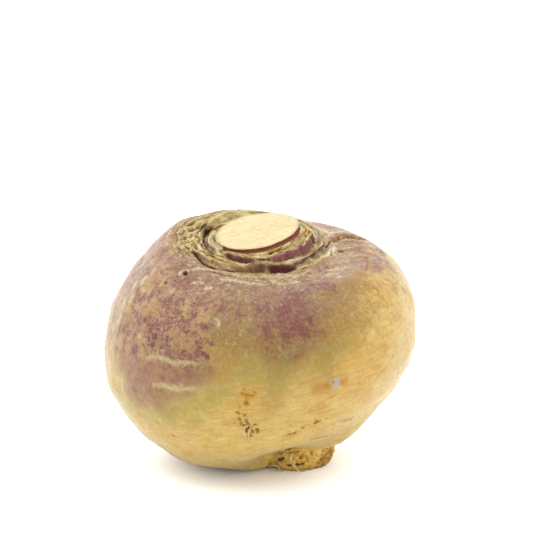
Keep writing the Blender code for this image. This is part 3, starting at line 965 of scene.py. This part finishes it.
# %% Spots in the bands
# Station, degrees, radius in mm, then what is added to the purple, the olive and the orange.
ZONE_SPOTS = (
    (2.6, 281, 11, 0.3, 0.5, 0),
    (2.75, 286, 4, 0.35, 0.2, 0),
    (3.0, 273, 6, 0.25, 0.35, 0),
    (1.5, 262, 8, 0.1, 0.35, 0),
    (1.2, 224, 6, 0.2, 0.4, 0),
    (1.2, 298, 6, 0.1, 0.35, 0),
    (1.85, 290, 5, 0.25, 0.3, 0),
    (1.5, 240, 7, 0.15, 0.3, 0),
    (2.6, 350, 7, 0.1, 0.2, 0.3),
    (2.0, 283, 4, 0.5, 0.2, 0),
    (2.3, 276, 5, 0.3, 0.2, 0),
    (1.35, 299, 5, 0.7, 0.3, 0),
    (1.65, 304, 4, 0.5, 0.3, 0),
    (1.6, 285, 4, 0.4, 0.1, 0),
    (1.65, 221, 6, 0.7, 0, 0),
    (1.35, 236, 5, 0.4, 0, 0),
    (2.8, 224, 7, 0.4, 0, 0),
    (2.3, 209, 5, 0.3, 0, 0),
    (2.2, 227, 6, 0.3, 0, 0),
    (3.3, 240, 6, 0.2, 0, 0),
    (1.7, 238, 5, 0.2, 0, 0),
    (1.7, 342, 5, 0.5, 0, 0),
    (1.2, 318, 6, 0.3, 0, 0),
    (2.1, 352, 5, 0.5, 0, 0.2),
    (1.3, 196, 7, 0.3, 0, 0),
    (1.75, 257, 6, -0.25, 0.2, 0),
    (2.55, 256, 7, -0.35, 0.2, 0),
    (1.5, 293, 4, -0.25, 0.2, 0.3),
    (2.1, 297, 5, -0.3, 0.4, 0.2),
    (2.1, 243, 6, -0.2, 0.1, 0),
    (3.0, 247, 5, -0.4, 0.1, 0),
    (1.9, 206, 5, -0.5, 0, 0.6),
    (2.35, 211, 4, -0.4, 0, 0.5),
    (1.3, 203, 5, -0.3, 0, 0.5),
    (2.2, 233, 4, -0.4, 0.3, 0.2),
    (2.6, 203, 5, -0.3, 0, 0),
    (1.15, 208, 5, 0.1, 0.6, 0),
    (1.15, 197, 5, 0.2, 0.5, 0),
    (1.0, 224, 6, 0, 0.8, 0),
    (1.0, 244, 7, -0.1, 0.7, 0),
    (0.95, 264, 7, -0.1, 0.8, 0),
    (1.0, 280, 6, -0.1, 0.7, 0),
    (1.0, 310, 7, -0.2, 0.4, 0),
    (1.4, 326, 6, -0.15, 0.3, 0),
    (1.2, 352, 9, -0.35, 0.4, 0),
    (2.0, 318, 6, -0.2, 0.3, 0),
    (3.6, 303, 14, 0, 0, 0.7),
    (4.0, 287, 6, 0, 0, 0.7),
    (3.8, 262, 7, 0, 0, 0.5),
    (4.8, 227, 5, 0, 0, 0.7),
    (4.6, 300, 10, 0, 0, 0.4),
    (2.6, 332, 10, 0, 0, 0.5),
)

PURPLE_SHARE = 0.72

for level, middle, radius, *added in ZONE_SPOTS:
    away = np.linalg.norm(bare_mm - line_through(((level, middle),)), axis=1)
    for name, more in zip(("purple", "olive", "orange"), added):
        zones[name] = zones[name] + more * np.exp(-(away / radius)**2)
zones["purple"] = PURPLE_SHARE * zones["purple"]
for name, zone in zones.items():
    add_stain(name, zone)
print("purple covers", round(100 * float((zones["purple"] > 0.3).mean())), "% of the points")

# %% [markdown]
# ## Where the fine finishes go
#
# The net of corky flecks only grows where the skin is purple, and thins out in front on the right.
# Towards the stub the yellow gets more golden and brighter: partly its own tone, and partly painted
# light that lifts the shaded underside. The stub itself is painted paler, as painted light on its
# shade. These are layers like the stains, so that the rind's material can read them.

# %% Net, gold and stub
PLAIN_MIDDLE = 295

plain_side = soft_step(np.cos(turned_from(angle, PLAIN_MIDDLE)), 0.45, 0.8)
stain["net"] = soft_step(zones["purple"], 0.0, 0.45) * (0.85 + 0.3 * uneven(bare_mm, 12, 55))
stain["net"] *= 1 - 0.75 * plain_side * soft_step(station, 1.3, 1.9)
stain["gold"] += soft_step(station, 4.2, 6.0)
stain["stub"] += soft_step(station, 6.9, 7.8)
print("net over half strong on", round(100 * float((stain["net"] > 0.5).mean())), "% of the points")

# %% [markdown]
# ## Raise the relief and lean the root over
#
# The scars move points along the root's axis and all other relief moves them straight out of the
# skin. Then the whole root leans over, as it does when it is put down. The object could be turned
# instead, but the pieces here stay unturned, so the points themselves are.

# %% Move the points
LEAN = math.radians(9.6)
PITCH = math.radians(5.5)
AXIS_ON_GROUND = (16.0 * MM, 6.3 * MM)


def seated(points):
    """Leans the upright root over, onto the point where its axis meets the ground."""
    x, y, z = points.T
    x, z = x * math.cos(LEAN) - z * math.sin(LEAN), x * math.sin(LEAN) + z * math.cos(LEAN)
    y, z = y * math.cos(PITCH) - z * math.sin(PITCH), y * math.sin(PITCH) + z * math.cos(PITCH)
    return np.stack([x + AXIS_ON_GROUND[0], y + AXIS_ON_GROUND[1], z], axis=1)


upright = bare_mm + outwards * lift[:, None]
upright[:, 2] += scar_height + knife
placed = seated(upright * MM)
for vert, place in zip(blank.verts, placed):
    vert.co = place
print("lowest and highest point, mm:", (placed[:, 2].min() / MM).round(1),
      (placed[:, 2].max() / MM).round(1))

# %% [markdown]
# ## Painted shade near the ground
#
# Where the root sits on the table, the skin is painted brown as shade near the ground, and the seam
# itself is in shade and painted darker still. Both are colours by height, and the wear gives the
# brown band an uneven edge.

# %% Paint shade on the foot
CONTACT_SHADE, CONTACT_SHADE_FULL, CONTACT_SHADE_END = 0.4, 0.4, 3.0
SEAM_SHADE, SEAM_FULL, SEAM_END = 0.5, 0.1, 0.9
MOST_WEAR = 1.5

height_mm = placed[:, 2] / MM
contact_shade_end = CONTACT_SHADE_END + np.clip(wear, -MOST_WEAR, MOST_WEAR)
# Painted shade: brown on the skin just above the table.
add_stain("brown", CONTACT_SHADE * (1 - soft_step(height_mm, CONTACT_SHADE_FULL, contact_shade_end)))
# Painted shade: darker still along the seam on the table.
add_stain("dark", SEAM_SHADE * (1 - soft_step(height_mm, SEAM_FULL, SEAM_END)))
print("points under", CONTACT_SHADE_END, "mm:", int((height_mm < CONTACT_SHADE_END).sum()))

# %% [markdown]
# ## Keep the stains on the points
#
# A material can read any layer of numbers that the mesh carries, by its name. So each stain becomes
# a layer, and one more layer, called turning, keeps the place on the map for level patterns. A
# painted texture could do the same, but layers need no unwrapping and move with the points.

# %% Keep the stains
STATION_LENGTH = 14

map_places = round_axis(1, STATION_LENGTH * station)
turning_layer = blank.verts.layers.float_vector.new("turning")
for vert, place in zip(blank.verts, map_places.tolist()):
    vert[turning_layer] = place
for name in STAINS:
    layer = blank.verts.layers.float.new(name)
    for vert, amount in zip(blank.verts, np.clip(stain[name], 0, 1).tolist()):
        vert[layer] = amount
print("layers on the skin:", len(blank.verts.layers.float), "and turning")

# %% [markdown]
# ## Press the foot flat and make the skin
#
# What would pass the ground is cut off, and the holes are closed with flat faces: the swollen side
# and the stub both settle on the table. Faces on the cut take the second material, for flesh. A
# layer has to be looked up again here, because adding new ones moves the old ones in memory.

# %% Settle the root and make the skin
ROUNDING = 1e-5

bmesh.ops.bisect_plane(blank, geom=blank.verts[:] + blank.edges[:] + blank.faces[:], dist=WELD,
                       plane_co=(0, 0, 0), plane_no=(0, 0, -1), clear_outer=True)
for vert in blank.verts:
    vert.co.z = max(vert.co.z, 0)
bmesh.ops.edgeloop_fill(blank, edges=[edge for edge in blank.edges if edge.is_boundary])
station_layer = blank.verts.layers.float["station"]
for face in blank.faces:
    lowest = max(vert[station_layer] for vert in face.verts)
    face.material_index = int(lowest <= CUT_TOP + ROUNDING)
bmesh.ops.recalc_face_normals(blank, faces=blank.faces)

skin_mesh = bpy.data.meshes.new("root_skin")
blank.to_mesh(skin_mesh)
blank.free()
skin = bpy.data.objects.new("root_skin", skin_mesh)
scene.collection.objects.link(skin)
skin_mesh.shade_smooth()
triangles = sum(len(polygon.vertices) - 2 for polygon in skin_mesh.polygons)
print("skin:", len(skin_mesh.polygons), "faces,", triangles, "triangles")

# %% [markdown]
# ## Hair roots
#
# A few dry hair roots still cling to the stub and to the pits above it. Blender's hair would be
# lost on export, so each one is a thin tapering tube of real faces. First comes its course, a
# smooth line of stops given by station, degrees and millimetres off the skin.

# %% Where the hair roots run
# Thickness at the root in mm, then stops along it: station, degrees, mm off the skin.
HAIRS = (
    (0.45, ((5.7, 268.6, -0.2), (6.2, 267, 0.4), (6.87, 264, 1.2), (7.4, 260, 1.4),
            (7.9, 254, 0.4))),
    (0.95, ((8.3, 233, -0.2), (8.7, 240, 0.8), (8.9, 248, 1.1), (9.2, 252, 1.2),
            (9.5, 255.5, 0.4))),
    (0.95, ((8.2, 268, -0.2), (8.5, 265, 0.7), (8.85, 267, 1.0), (9.24, 273, 1.1),
            (9.56, 283.5, 0.4))),
    (0.4, ((4.66, 258.5, -0.2), (4.75, 257.5, 0.5), (4.95, 256.6, 0.5), (5.2, 256.2, -0.1))),
    (0.4, ((4.6, 256.6, -0.2), (4.75, 255.8, 0.4), (5.1, 255.2, 0.3), (5.3, 255, -0.1))),
    (0.6, ((8.1, 244, -0.2), (8.5, 247, 0.7), (8.75, 255, 0.8), (8.85, 262, -0.1))),
    (0.4, ((7.7, 249, -0.2), (8.2, 250, 0.6), (8.6, 246, 0.7), (9.0, 238, 0.2))),
)
HAIR_STEPS = 6


def hair_course(stops, thickness):
    """Places along a hair root, seated with the root and kept above the ground."""
    count = HAIR_STEPS * (len(stops) - 1) + 1
    level, degrees, off_mm = smooth_curve(stops, np.linspace(0, len(stops) - 1, count)).T
    turned = np.radians(degrees)
    under = smooth_skin(level, turned)
    straight = facing(level, turned)
    straight *= np.sign((straight * under).sum(axis=1, keepdims=True))
    course = seated(under + straight * (off_mm + thickness / 2)[:, None] * MM)
    course[:, 2] = np.maximum(course[:, 2], thickness / 2 * MM)
    return course


print("the first hair root ends at, mm:", (hair_course(HAIRS[0][1], HAIRS[0][0])[-1] / MM).round(1))

# %% [markdown]
# ## A tube along each course
#
# At every place along the course a small ring of points stands square to it, a little smaller each
# time, and faces join ring to ring. A curve with a bevel would do too, but it has to be turned into
# a mesh anyway. The hair roots grow out of the root, so they ride on it like everything else.

# %% Grow the hair roots
HAIR_SIDES = 6
HAIR_TAPER = 0.6

hair = bmesh.new()
for thickness, stops in HAIRS:
    course = hair_course(stops, thickness)
    last = len(course) - 1
    rings = []
    for k, place in enumerate(course):
        run = Vector(course[min(k + 1, last)] - course[max(k - 1, 0)]).normalized()
        side = run.orthogonal() if k == 0 else (side - run * side.dot(run)).normalized()
        radius = thickness / 2 * MM * (1 - HAIR_TAPER * k / len(course))
        rings.append([hair.verts.new(Vector(place) + radius
                                     * (math.cos(turn) * side + math.sin(turn) * run.cross(side)))
                      for turn in np.linspace(0, TAU, HAIR_SIDES, endpoint=False)])
    for ring, after in zip(rings, rings[1:]):
        for k in range(HAIR_SIDES):
            beside = (k + 1) % HAIR_SIDES
            hair.faces.new((ring[k], ring[beside], after[beside], after[k]))
    hair.faces.new(rings[0])
    hair.faces.new(rings[-1])
bmesh.ops.recalc_face_normals(hair, faces=hair.faces)
hair_mesh = bpy.data.meshes.new("hair_roots")
hair.to_mesh(hair_mesh)
hair.free()
hair_mesh.shade_smooth()
hairs = bpy.data.objects.new("hair_roots", hair_mesh)
scene.collection.objects.link(hairs)
print("hair roots:", len(HAIRS), "with", len(hair_mesh.polygons), "faces")

# %% [markdown]
# ## Mixing skin colours
#
# Colours are given as they look in the studio, from 0 to 255, because that is how a maker judges
# them. The studio is so bright that white paper washes out, and the skin also mirrors a little of
# the white room, so both are taken off to find the pigment's own linear colour.

# %% Pigments by their looks
STUDIO = 2.6
MIRRORED = 0.05
CORK_MIRRORED = 0.012
DARKEST = 0.003


def looks(*shade, mirrored=MIRRORED):
    """The pigment that looks like this red, green and blue, 0 to 255, in the studio."""
    shares = [value / 255 for value in shade]
    seen = [s / 12.92 if s <= 0.04045 else ((s + 0.055) / 1.055)**2.4 for s in shares]
    return [max(s - mirrored, DARKEST) / STUDIO for s in seen] + [1]


def dull(*shade):
    """The same for dry cork, which hardly mirrors anything."""
    return looks(*shade, mirrored=CORK_MIRRORED)


print("pigment of the yellow skin:", [round(share, 2) for share in looks(226, 186, 96)])

# %% [markdown]
# ## A recipe of nodes
#
# A material is a recipe of nodes, and nodes can be placed and linked by hand in the editor. In a
# script, a few helpers keep the recipe short: one adds any node, and the rest add the kinds used
# again and again.

# %% Helpers for materials
def feed(tree, socket, value):
    """Links a value to a socket, or sets it there when it is a plain number or colour."""
    if isinstance(value, bpy.types.NodeSocket):
        tree.links.new(value, socket)
    else:
        socket.default_value = value


class Recipe:
    """The nodes of one material, with short names for the steps used most."""

    def __init__(self, name):
        self.material = bpy.data.materials.new(name)
        self.material.use_nodes = True
        self.tree = self.material.node_tree
        self.shader = self.tree.nodes["Principled BSDF"]
        self.place = self.add("ShaderNodeTexCoord").outputs["Object"]

    def add(self, kind, inputs=None, **settings):
        """Any node, with its settings and inputs."""
        made = self.tree.nodes.new(kind)
        for name, value in settings.items():
            setattr(made, name, value)
        for name, value in (inputs or {}).items():
            feed(self.tree, made.inputs[name], value)
        return made

    def map(self, name, output="Fac"):
        """One of the layers kept on the skin."""
        return self.add("ShaderNodeAttribute", attribute_name=name).outputs[output]

    def squeeze(self, at, *scale):
        """Places scaled along each direction, so that a pattern there is stretched or thinned."""
        return self.add("ShaderNodeMapping", {"Vector": at, "Scale": scale}).outputs["Vector"]

    def noise(self, size_mm, detail=2.0, roughness=0.5, at=None, distortion=0.0):
        """Soft noise with grains of about this size, on the piece or on other places."""
        unit = MM if at is None else 1
        inputs = {"Vector": self.place if at is None else at, "Scale": 1 / (size_mm * unit),
                  "Detail": detail, "Roughness": roughness, "Distortion": distortion}
        return self.add("ShaderNodeTexNoise", inputs).outputs["Fac"]

    def ease(self, value, start, end, low=0.0, high=1.0):
        """Turns the values from start to end into low to high, with a smooth change."""
        inputs = {"Value": value, "From Min": start, "From Max": end, "To Min": low,
                  "To Max": high}
        return self.add("ShaderNodeMapRange", inputs,
                        interpolation_type="SMOOTHSTEP").outputs["Result"]

    def math(self, operation, first, second=0.0):
        """One step of arithmetic on two values."""
        made = self.add("ShaderNodeMath", operation=operation)
        feed(self.tree, made.inputs[0], first)
        feed(self.tree, made.inputs[1], second)
        return made.outputs[0]

    def blend(self, share, first, second):
        """The first colour where the share is 0, and the second where it is 1."""
        made = self.add("ShaderNodeMix", data_type="RGBA")
        for socket, value in zip((made.inputs[0], made.inputs[6], made.inputs[7]),
                                 (share, first, second)):
            feed(self.tree, socket, value)
        return made.outputs[2]

    def bump(self, height, strength, depth_mm):
        """Light and shade as from fine relief, without any new points."""
        inputs = {"Height": height, "Strength": strength, "Distance": depth_mm * MM}
        return self.add("ShaderNodeBump", inputs).outputs["Normal"]

    def set(self, **inputs):
        """Fills sockets of the shader, named with underscores for spaces."""
        for name, value in inputs.items():
            feed(self.tree, self.shader.inputs[name.replace("_", " ")], value)


print("node helpers:", [name for name in vars(Recipe) if not name.startswith("_")])

# %% [markdown]
# ## The rind
#
# The colour is built up the way the root grew: yellow flesh tones first, then olive and green, then
# a thin purple veil over them, then a net of fine corky flecks, and last the dry brown and pale
# marks. The stains kept on the skin say where each goes, and noise breaks up their edges. First
# come the patterns: round ones for mottle and grains, and stretched ones for streaks that run level
# or fall down the side.

# %% Rind: patterns
rind = Recipe("rind")
cloud = rind.noise(22, 2)
mottle = rind.noise(5, 5, 0.68, distortion=0.4)
blotch = rind.noise(3.2, 3, 0.6, distortion=0.8)
fleck = rind.noise(1.5, 3, 0.6)
speck = rind.noise(0.9, 2, 0.5)
turning = rind.map("turning", "Vector")
level_streaks = rind.noise(1.5, 4, 0.65, at=rind.squeeze(turning, 12, 12, 1))
wrinkles = rind.noise(0.75, 3, 0.6, at=rind.squeeze(turning, 7, 7, 1), distortion=0.3)
arcs = rind.noise(1.1, 4, 0.6, at=rind.squeeze(turning, 10, 10, 1), distortion=0.4)
fall_streaks = rind.noise(1.6, 4, 0.65, at=rind.squeeze(turning, 60, 60, 0.16))
upper_half = rind.ease(rind.map("station"), 3.7, 2.6, 0.3, 1)
lower_half = rind.ease(rind.map("station"), 3.0, 4.2)


def tinted(name, floor=0.5):
    """How much of a stain shows, broken up by the mottle."""
    return rind.math("MULTIPLY", rind.map(name), rind.ease(mottle, 0.35, 0.6, floor, 1))


def sprinkled(colour, where, *rows):
    """Lays tones over a colour, in one place or, where that is None, all over.

    A row holds a pattern, its values where the tone starts and is full, how strong the tone gets,
    and the tone as it looks.
    """
    for pattern, first, full, most, tone in rows:
        share = rind.ease(pattern, first, full, 0, most)
        if where is not None:
            share = rind.math("MULTIPLY", where, share)
        colour = rind.blend(share, colour, looks(*tone))
    return colour


print("nodes for the patterns:", len(rind.tree.nodes))

# %% [markdown]
# ## Yellow skin
#
# The skin that grew in the soil is yellow, golden towards the stub, and crossed by level streaks
# and wrinkles a shade lighter or darker. Towards the stub it is also brighter, and that brightness is
# painted light on the shaded underside. One noise would look like paint, so two go with the
# growth: each one's high values give the light streaks and its low values the dark ones.

# %% Rind: yellow
colour = rind.blend(rind.ease(cloud, 0.35, 0.65), looks(226, 186, 96), looks(234, 202, 118))
# The golden tone is also brighter: partly the skin's own colour, partly painted light on the shaded
# underside.
colour = rind.blend(rind.map("gold"), colour, looks(240, 203, 98))
# The stub's tones look brighter than studio white: painted light that lifts the stub out of its
# shade.
stub_painted_light = rind.blend(rind.ease(blotch, 0.4, 0.62), looks(270, 224, 110), looks(305, 256, 136))
colour = rind.blend(rind.map("stub"), colour, stub_painted_light)
colour = rind.blend(tinted("orange"), colour, looks(230, 178, 82))
colour = sprinkled(colour, None, (level_streaks, 0.52, 0.72, 0.6, (246, 222, 146)),
                   (level_streaks, 0.48, 0.3, 0.5, (206, 160, 66)))
colour = sprinkled(colour, lower_half, (wrinkles, 0.52, 0.68, 0.34, (250, 230, 160)),
                   (wrinkles, 0.48, 0.32, 0.34, (196, 146, 58)))
print("nodes so far:", len(rind.tree.nodes))

# %% [markdown]
# ## Olive, green and dapples
#
# Between soil and light the skin is yellow-green, then olive, and dappled with brown and cream in
# all sizes. The dapples come from the same mottle and flecks as the rest, so that the layers look
# grown together rather than printed one on the other.

# %% Rind: olive, green and dapples
colour = rind.blend(rind.ease(rind.map("purple"), 0, 0.5), colour, looks(190, 156, 94))
colour = rind.blend(tinted("green"), colour, looks(196, 180, 88))
grain = rind.math("MULTIPLY", mottle, 0.8)
grain = rind.math("ADD", rind.math("MULTIPLY", fall_streaks, 0.2), grain)
olive_tone = rind.blend(rind.ease(grain, 0.4, 0.6), looks(124, 96, 42), looks(170, 140, 68))
colour = rind.blend(tinted("olive", 0.7), colour, olive_tone)
colour = sprinkled(colour, upper_half, (mottle, 0.45, 0.62, 0.6, (164, 116, 58)),
                   (mottle, 0.42, 0.3, 0.3, (232, 206, 130)),
                   (fleck, 0.5, 0.66, 0.4, (156, 104, 62)),
                   (fleck, 0.4, 0.3, 0.3, (236, 214, 144)))
print("nodes so far:", len(rind.tree.nodes))

# %% [markdown]
# ## The purple veil
#
# The purple is a thin dye in the outermost skin, so what lies under it shows through. It is laid on
# as a veil that is thicker in some places than in others: every pattern adds some unrest to the
# stain before it is read as a thickness. Below the shoulder the veil is calmer.

# %% Rind: the purple veil
calm = rind.ease(rind.map("station"), 3.05, 3.5, 1, 0.35)
near_crown = rind.ease(rind.map("station"), 2.2, 1.3)
unrest = rind.ease(mottle, 0.3, 0.7, -0.45, 0.45)
for pattern, first, full, most in ((blotch, 0.35, 0.65, 0.22), (level_streaks, 0.3, 0.7, 0.1),
                                   (fall_streaks, 0.3, 0.7, 0.16)):
    unrest = rind.math("ADD", unrest, rind.ease(pattern, first, full, -most, most))
crown_unrest = rind.math("MULTIPLY", near_crown, rind.ease(arcs, 0.35, 0.65, -0.3, 0.3))
unrest = rind.math("ADD", unrest, crown_unrest)
unrest = rind.math("MULTIPLY", unrest, rind.ease(rind.map("purple"), 0, 0.3))
veil = rind.math("ADD", rind.map("purple"), rind.math("MULTIPLY", unrest, calm))
thin_tone = rind.blend(rind.map("olive"), looks(170, 118, 102), looks(142, 98, 66))
veil_tone = rind.blend(rind.ease(veil, 0.4, 1.1), thin_tone, looks(126, 66, 68))
colour = rind.blend(rind.ease(veil, 0.05, 0.85, 0, 0.92), colour, veil_tone)
print("nodes so far:", len(rind.tree.nodes))

# %% [markdown]
# ## The net of corky flecks
#
# As the root swelled, its purple skin cracked finely and healed with pale cork. The middle value of
# a twisted noise runs in thin closed lines, and that makes the net. Flecks, specks and dark pores
# lie between, denser crumbs near the lip, and fine grains all over the upper half.

# %% Rind: the net of corky flecks
net = rind.math("MULTIPLY", rind.map("net"), calm)
for size, thin, most in ((5, 0.030, 0.45), (2.8, 0.05, 0.35)):
    swirl = rind.noise(size, 1, 0.5, distortion=1.5)
    swirl = rind.math("ABSOLUTE", rind.math("SUBTRACT", swirl, 0.5))
    colour = sprinkled(colour, net, (swirl, thin, thin / 4, most, (208, 176, 140)))
at_lip = rind.math("MULTIPLY", rind.map("net"), rind.ease(rind.map("station"), 1.6, 0.95))
colour = sprinkled(colour, at_lip, (arcs, 0.52, 0.6, 0.75, (216, 196, 146)),
                   (arcs, 0.44, 0.36, 0.6, (122, 84, 66)))
flakes = rind.noise(1.9, 3, 0.65, distortion=1)
colour = sprinkled(colour, net, (flakes, 0.54, 0.66, 0.4, (208, 180, 134)),
                   (arcs, 0.55, 0.66, 0.4, (208, 182, 124)),
                   (speck, 0.64, 0.70, 0.7, (232, 214, 160)),
                   (speck, 0.42, 0.32, 0.4, (112, 58, 66)))
colour = sprinkled(colour, upper_half, (speck, 0.5, 0.64, 0.22, (126, 80, 56)),
                   (speck, 0.46, 0.32, 0.12, (234, 212, 160)))
print("nodes so far:", len(rind.tree.nodes))

# %% [markdown]
# ## Cork tones and stained marks
#
# On the crown, the dry cork of the collars hides the skin under it. It is made of fibres that run
# round the crown, dark in the gaps and cream on top. Over that go the tones of all the marks, which
# only need their stain and a little grit at the edge, so one loop lays them on.

# %% Rind: collars, risers, rims and marks
grit = rind.noise(1.1, 3, 0.65)
strands = rind.noise(1.2, 4, 0.6, at=rind.squeeze(turning, 4, 4, 1), distortion=0.3)
collar_tone = rind.blend(rind.ease(strands, 0.38, 0.52), dull(108, 80, 40), dull(192, 168, 106))
collar_tone = rind.blend(rind.ease(strands, 0.54, 0.63), collar_tone, dull(238, 224, 172))
collar_tone = rind.blend(rind.ease(fleck, 0.42, 0.3, 0, 0.4), collar_tone, dull(126, 92, 48))
colour = rind.blend(rind.ease(rind.map("collar"), 0.2, 0.8, 0, 0.95), colour, collar_tone)
riser_tone = rind.blend(rind.ease(fleck, 0.35, 0.65), dull(134, 76, 80), dull(156, 102, 106))
# The brown and dark tones also carry painted shade: near the table, along the seam, in the crease
# over the stub, in the deep pocket in front of the cut and partly in the crevices.
for name, tone, least in (("riser", riser_tone, 0.9), ("wall", dull(138, 80, 62), 1),
                          ("rim", dull(234, 220, 168), 0.5), ("brown", dull(176, 112, 38), 0.7),
                          ("pale", looks(222, 210, 150), 0.3), ("grey", looks(186, 182, 176), 0.7),
                          ("dark", dull(64, 34, 32), 0.9)):
    share = rind.math("MULTIPLY", rind.map(name), rind.ease(grit, 0.3, 0.55, least, 0.97))
    colour = rind.blend(share, colour, tone)
print("nodes so far:", len(rind.tree.nodes))

# %% [markdown]
# ## Gloss and fine bumps
#
# Living skin shines a little like wax, and dry cork hardly at all. So the strongest cork stain at a
# place sets how rough it is. Relief finer than the points is left to a bump, which only bends the
# light and costs no faces.

# %% Rind: gloss and fine bumps
cork = rind.map("collar")
for name in ("riser", "brown", "wall", "dark"):
    cork = rind.math("MAXIMUM", cork, rind.map(name))
gloss = rind.math("ADD", rind.ease(cork, 0, 1, 0.42, 0.85), rind.ease(fleck, 0.3, 0.7, -0.05, 0.08))
height = rind.math("ADD", rind.math("MULTIPLY", fleck, 0.6), rind.math("MULTIPLY", arcs, 0.6))
rind.set(Base_Color=colour, Roughness=gloss, Normal=rind.bump(height, 0.5, 0.35))
rind.set(Specular_IOR_Level=rind.ease(cork, 0, 1, 0.35, 0.06), Sheen_Roughness=0.45,
         Sheen_Weight=rind.ease(cork, 0, 1, 0.06, 0))
skin_mesh.materials.append(rind.material)
print("rind:", len(rind.tree.nodes), "nodes")

# %% [markdown]
# ## The cut face
#
# Fresh flesh is cream, moist and full of fine fibres that the knife drew out in wavy lines. They
# could be carved, but they are far finer than the points. Noise, squeezed so that it runs from
# side to side, gives them their tone, and a bump made from the same noise gives them a little form.

# %% Cut flesh
FIBRE_SQUEEZE = (0.35 / MM, 1 / MM, 1 / MM)

flesh = Recipe("cut_flesh")
fibres = flesh.noise(1.3, 4, 0.6, at=flesh.squeeze(flesh.place, *FIBRE_SQUEEZE), distortion=2.0)
warm = flesh.noise(9, 2)
flesh_tone = flesh.blend(flesh.ease(fibres, 0.48, 0.66), looks(234, 213, 156), looks(214, 176, 92))
flesh_tone = flesh.blend(flesh.ease(warm, 0.4, 0.7, 0, 0.4), flesh_tone, looks(238, 220, 174))
flesh.set(Base_Color=flesh_tone, Roughness=flesh.ease(fibres, 0.3, 0.7, 0.38, 0.5),
          Normal=flesh.bump(fibres, 0.5, 0.2))
skin_mesh.materials.append(flesh.material)
print("cut flesh:", len(flesh.tree.nodes), "nodes")

# %% [markdown]
# ## Dry hair roots
#
# The hair roots dried to straw: pale, dull, and a little uneven. At this size two soft noises are
# enough, one for the tone and one for the gloss.

# %% Dry hair roots
straw = Recipe("hair_root")
# The light straw tone is brighter than studio white: painted light that lifts the hair roots out of
# their shade.
straw_with_painted_light = straw.blend(straw.ease(straw.noise(1.5, 2), 0.35, 0.65), looks(275, 250, 180),
                         looks(250, 216, 130))
straw.set(Base_Color=straw_with_painted_light, Roughness=straw.ease(straw.noise(0.6, 2), 0.3, 0.7, 0.5, 0.7))
hair_mesh.materials.append(straw.material)
print("straw:", len(straw.tree.nodes), "nodes")

# %% [markdown]
# ## Studio
#
# The root lies on a white table in a white room. The table is one large face, wide enough that its
# edge is never seen, and it doesn't ride on the root's body, because it isn't part of the root.

# %% Table
TABLE_REACH = 6

table_mesh = bpy.data.meshes.new("table")
table_top = bmesh.new()
bmesh.ops.create_grid(table_top, x_segments=1, y_segments=1, size=TABLE_REACH)
table_top.to_mesh(table_mesh)
table_top.free()
table = bpy.data.objects.new("table", table_mesh)
scene.collection.objects.link(table)
white = Recipe("white_table")
white.set(Base_Color=(0.93, 0.93, 0.93, 1), Roughness=0.9)
table_mesh.materials.append(white.material)
print("table reaches", TABLE_REACH, "m each way")

# %% [markdown]
# ## Light
#
# Produce like this is shown in even light, with hardly a shadow. The white room lights the root
# from all sides, and one wide lamp above adds a little direction, so that the relief shows.

# %% Light
ROOM_LIGHT = 2.4

room = bpy.data.worlds.new("white_room")
room.use_nodes = True
background = room.node_tree.nodes["Background"]
background.inputs["Color"].default_value = (1, 1, 1, 1)
background.inputs["Strength"].default_value = ROOM_LIGHT
scene.world = room
scene.view_settings.view_transform = "Standard"

lamp_data = bpy.data.lights.new("softbox", "AREA")
lamp_data.size = 0.8
lamp_data.energy = 4.5
lamp = bpy.data.objects.new("softbox", lamp_data)
lamp.location = (-0.1, -0.1, 0.8)
lamp.rotation_euler = (AIM - lamp.location).to_track_quat("-Z", "Y").to_euler()
scene.collection.objects.link(lamp)
print("lamp at, mm:", [round(v / MM) for v in lamp.location])

# %% [markdown]
# ## Hand over
#
# Both pieces ride on the root's one body, and the skin takes the place of the plain solid, which is
# hidden, so that only one of them is shown.

# %% Finish
for piece in (skin, hairs):
    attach(piece, "root")
    print("handed over:", piece.name)
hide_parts("rutabaga")
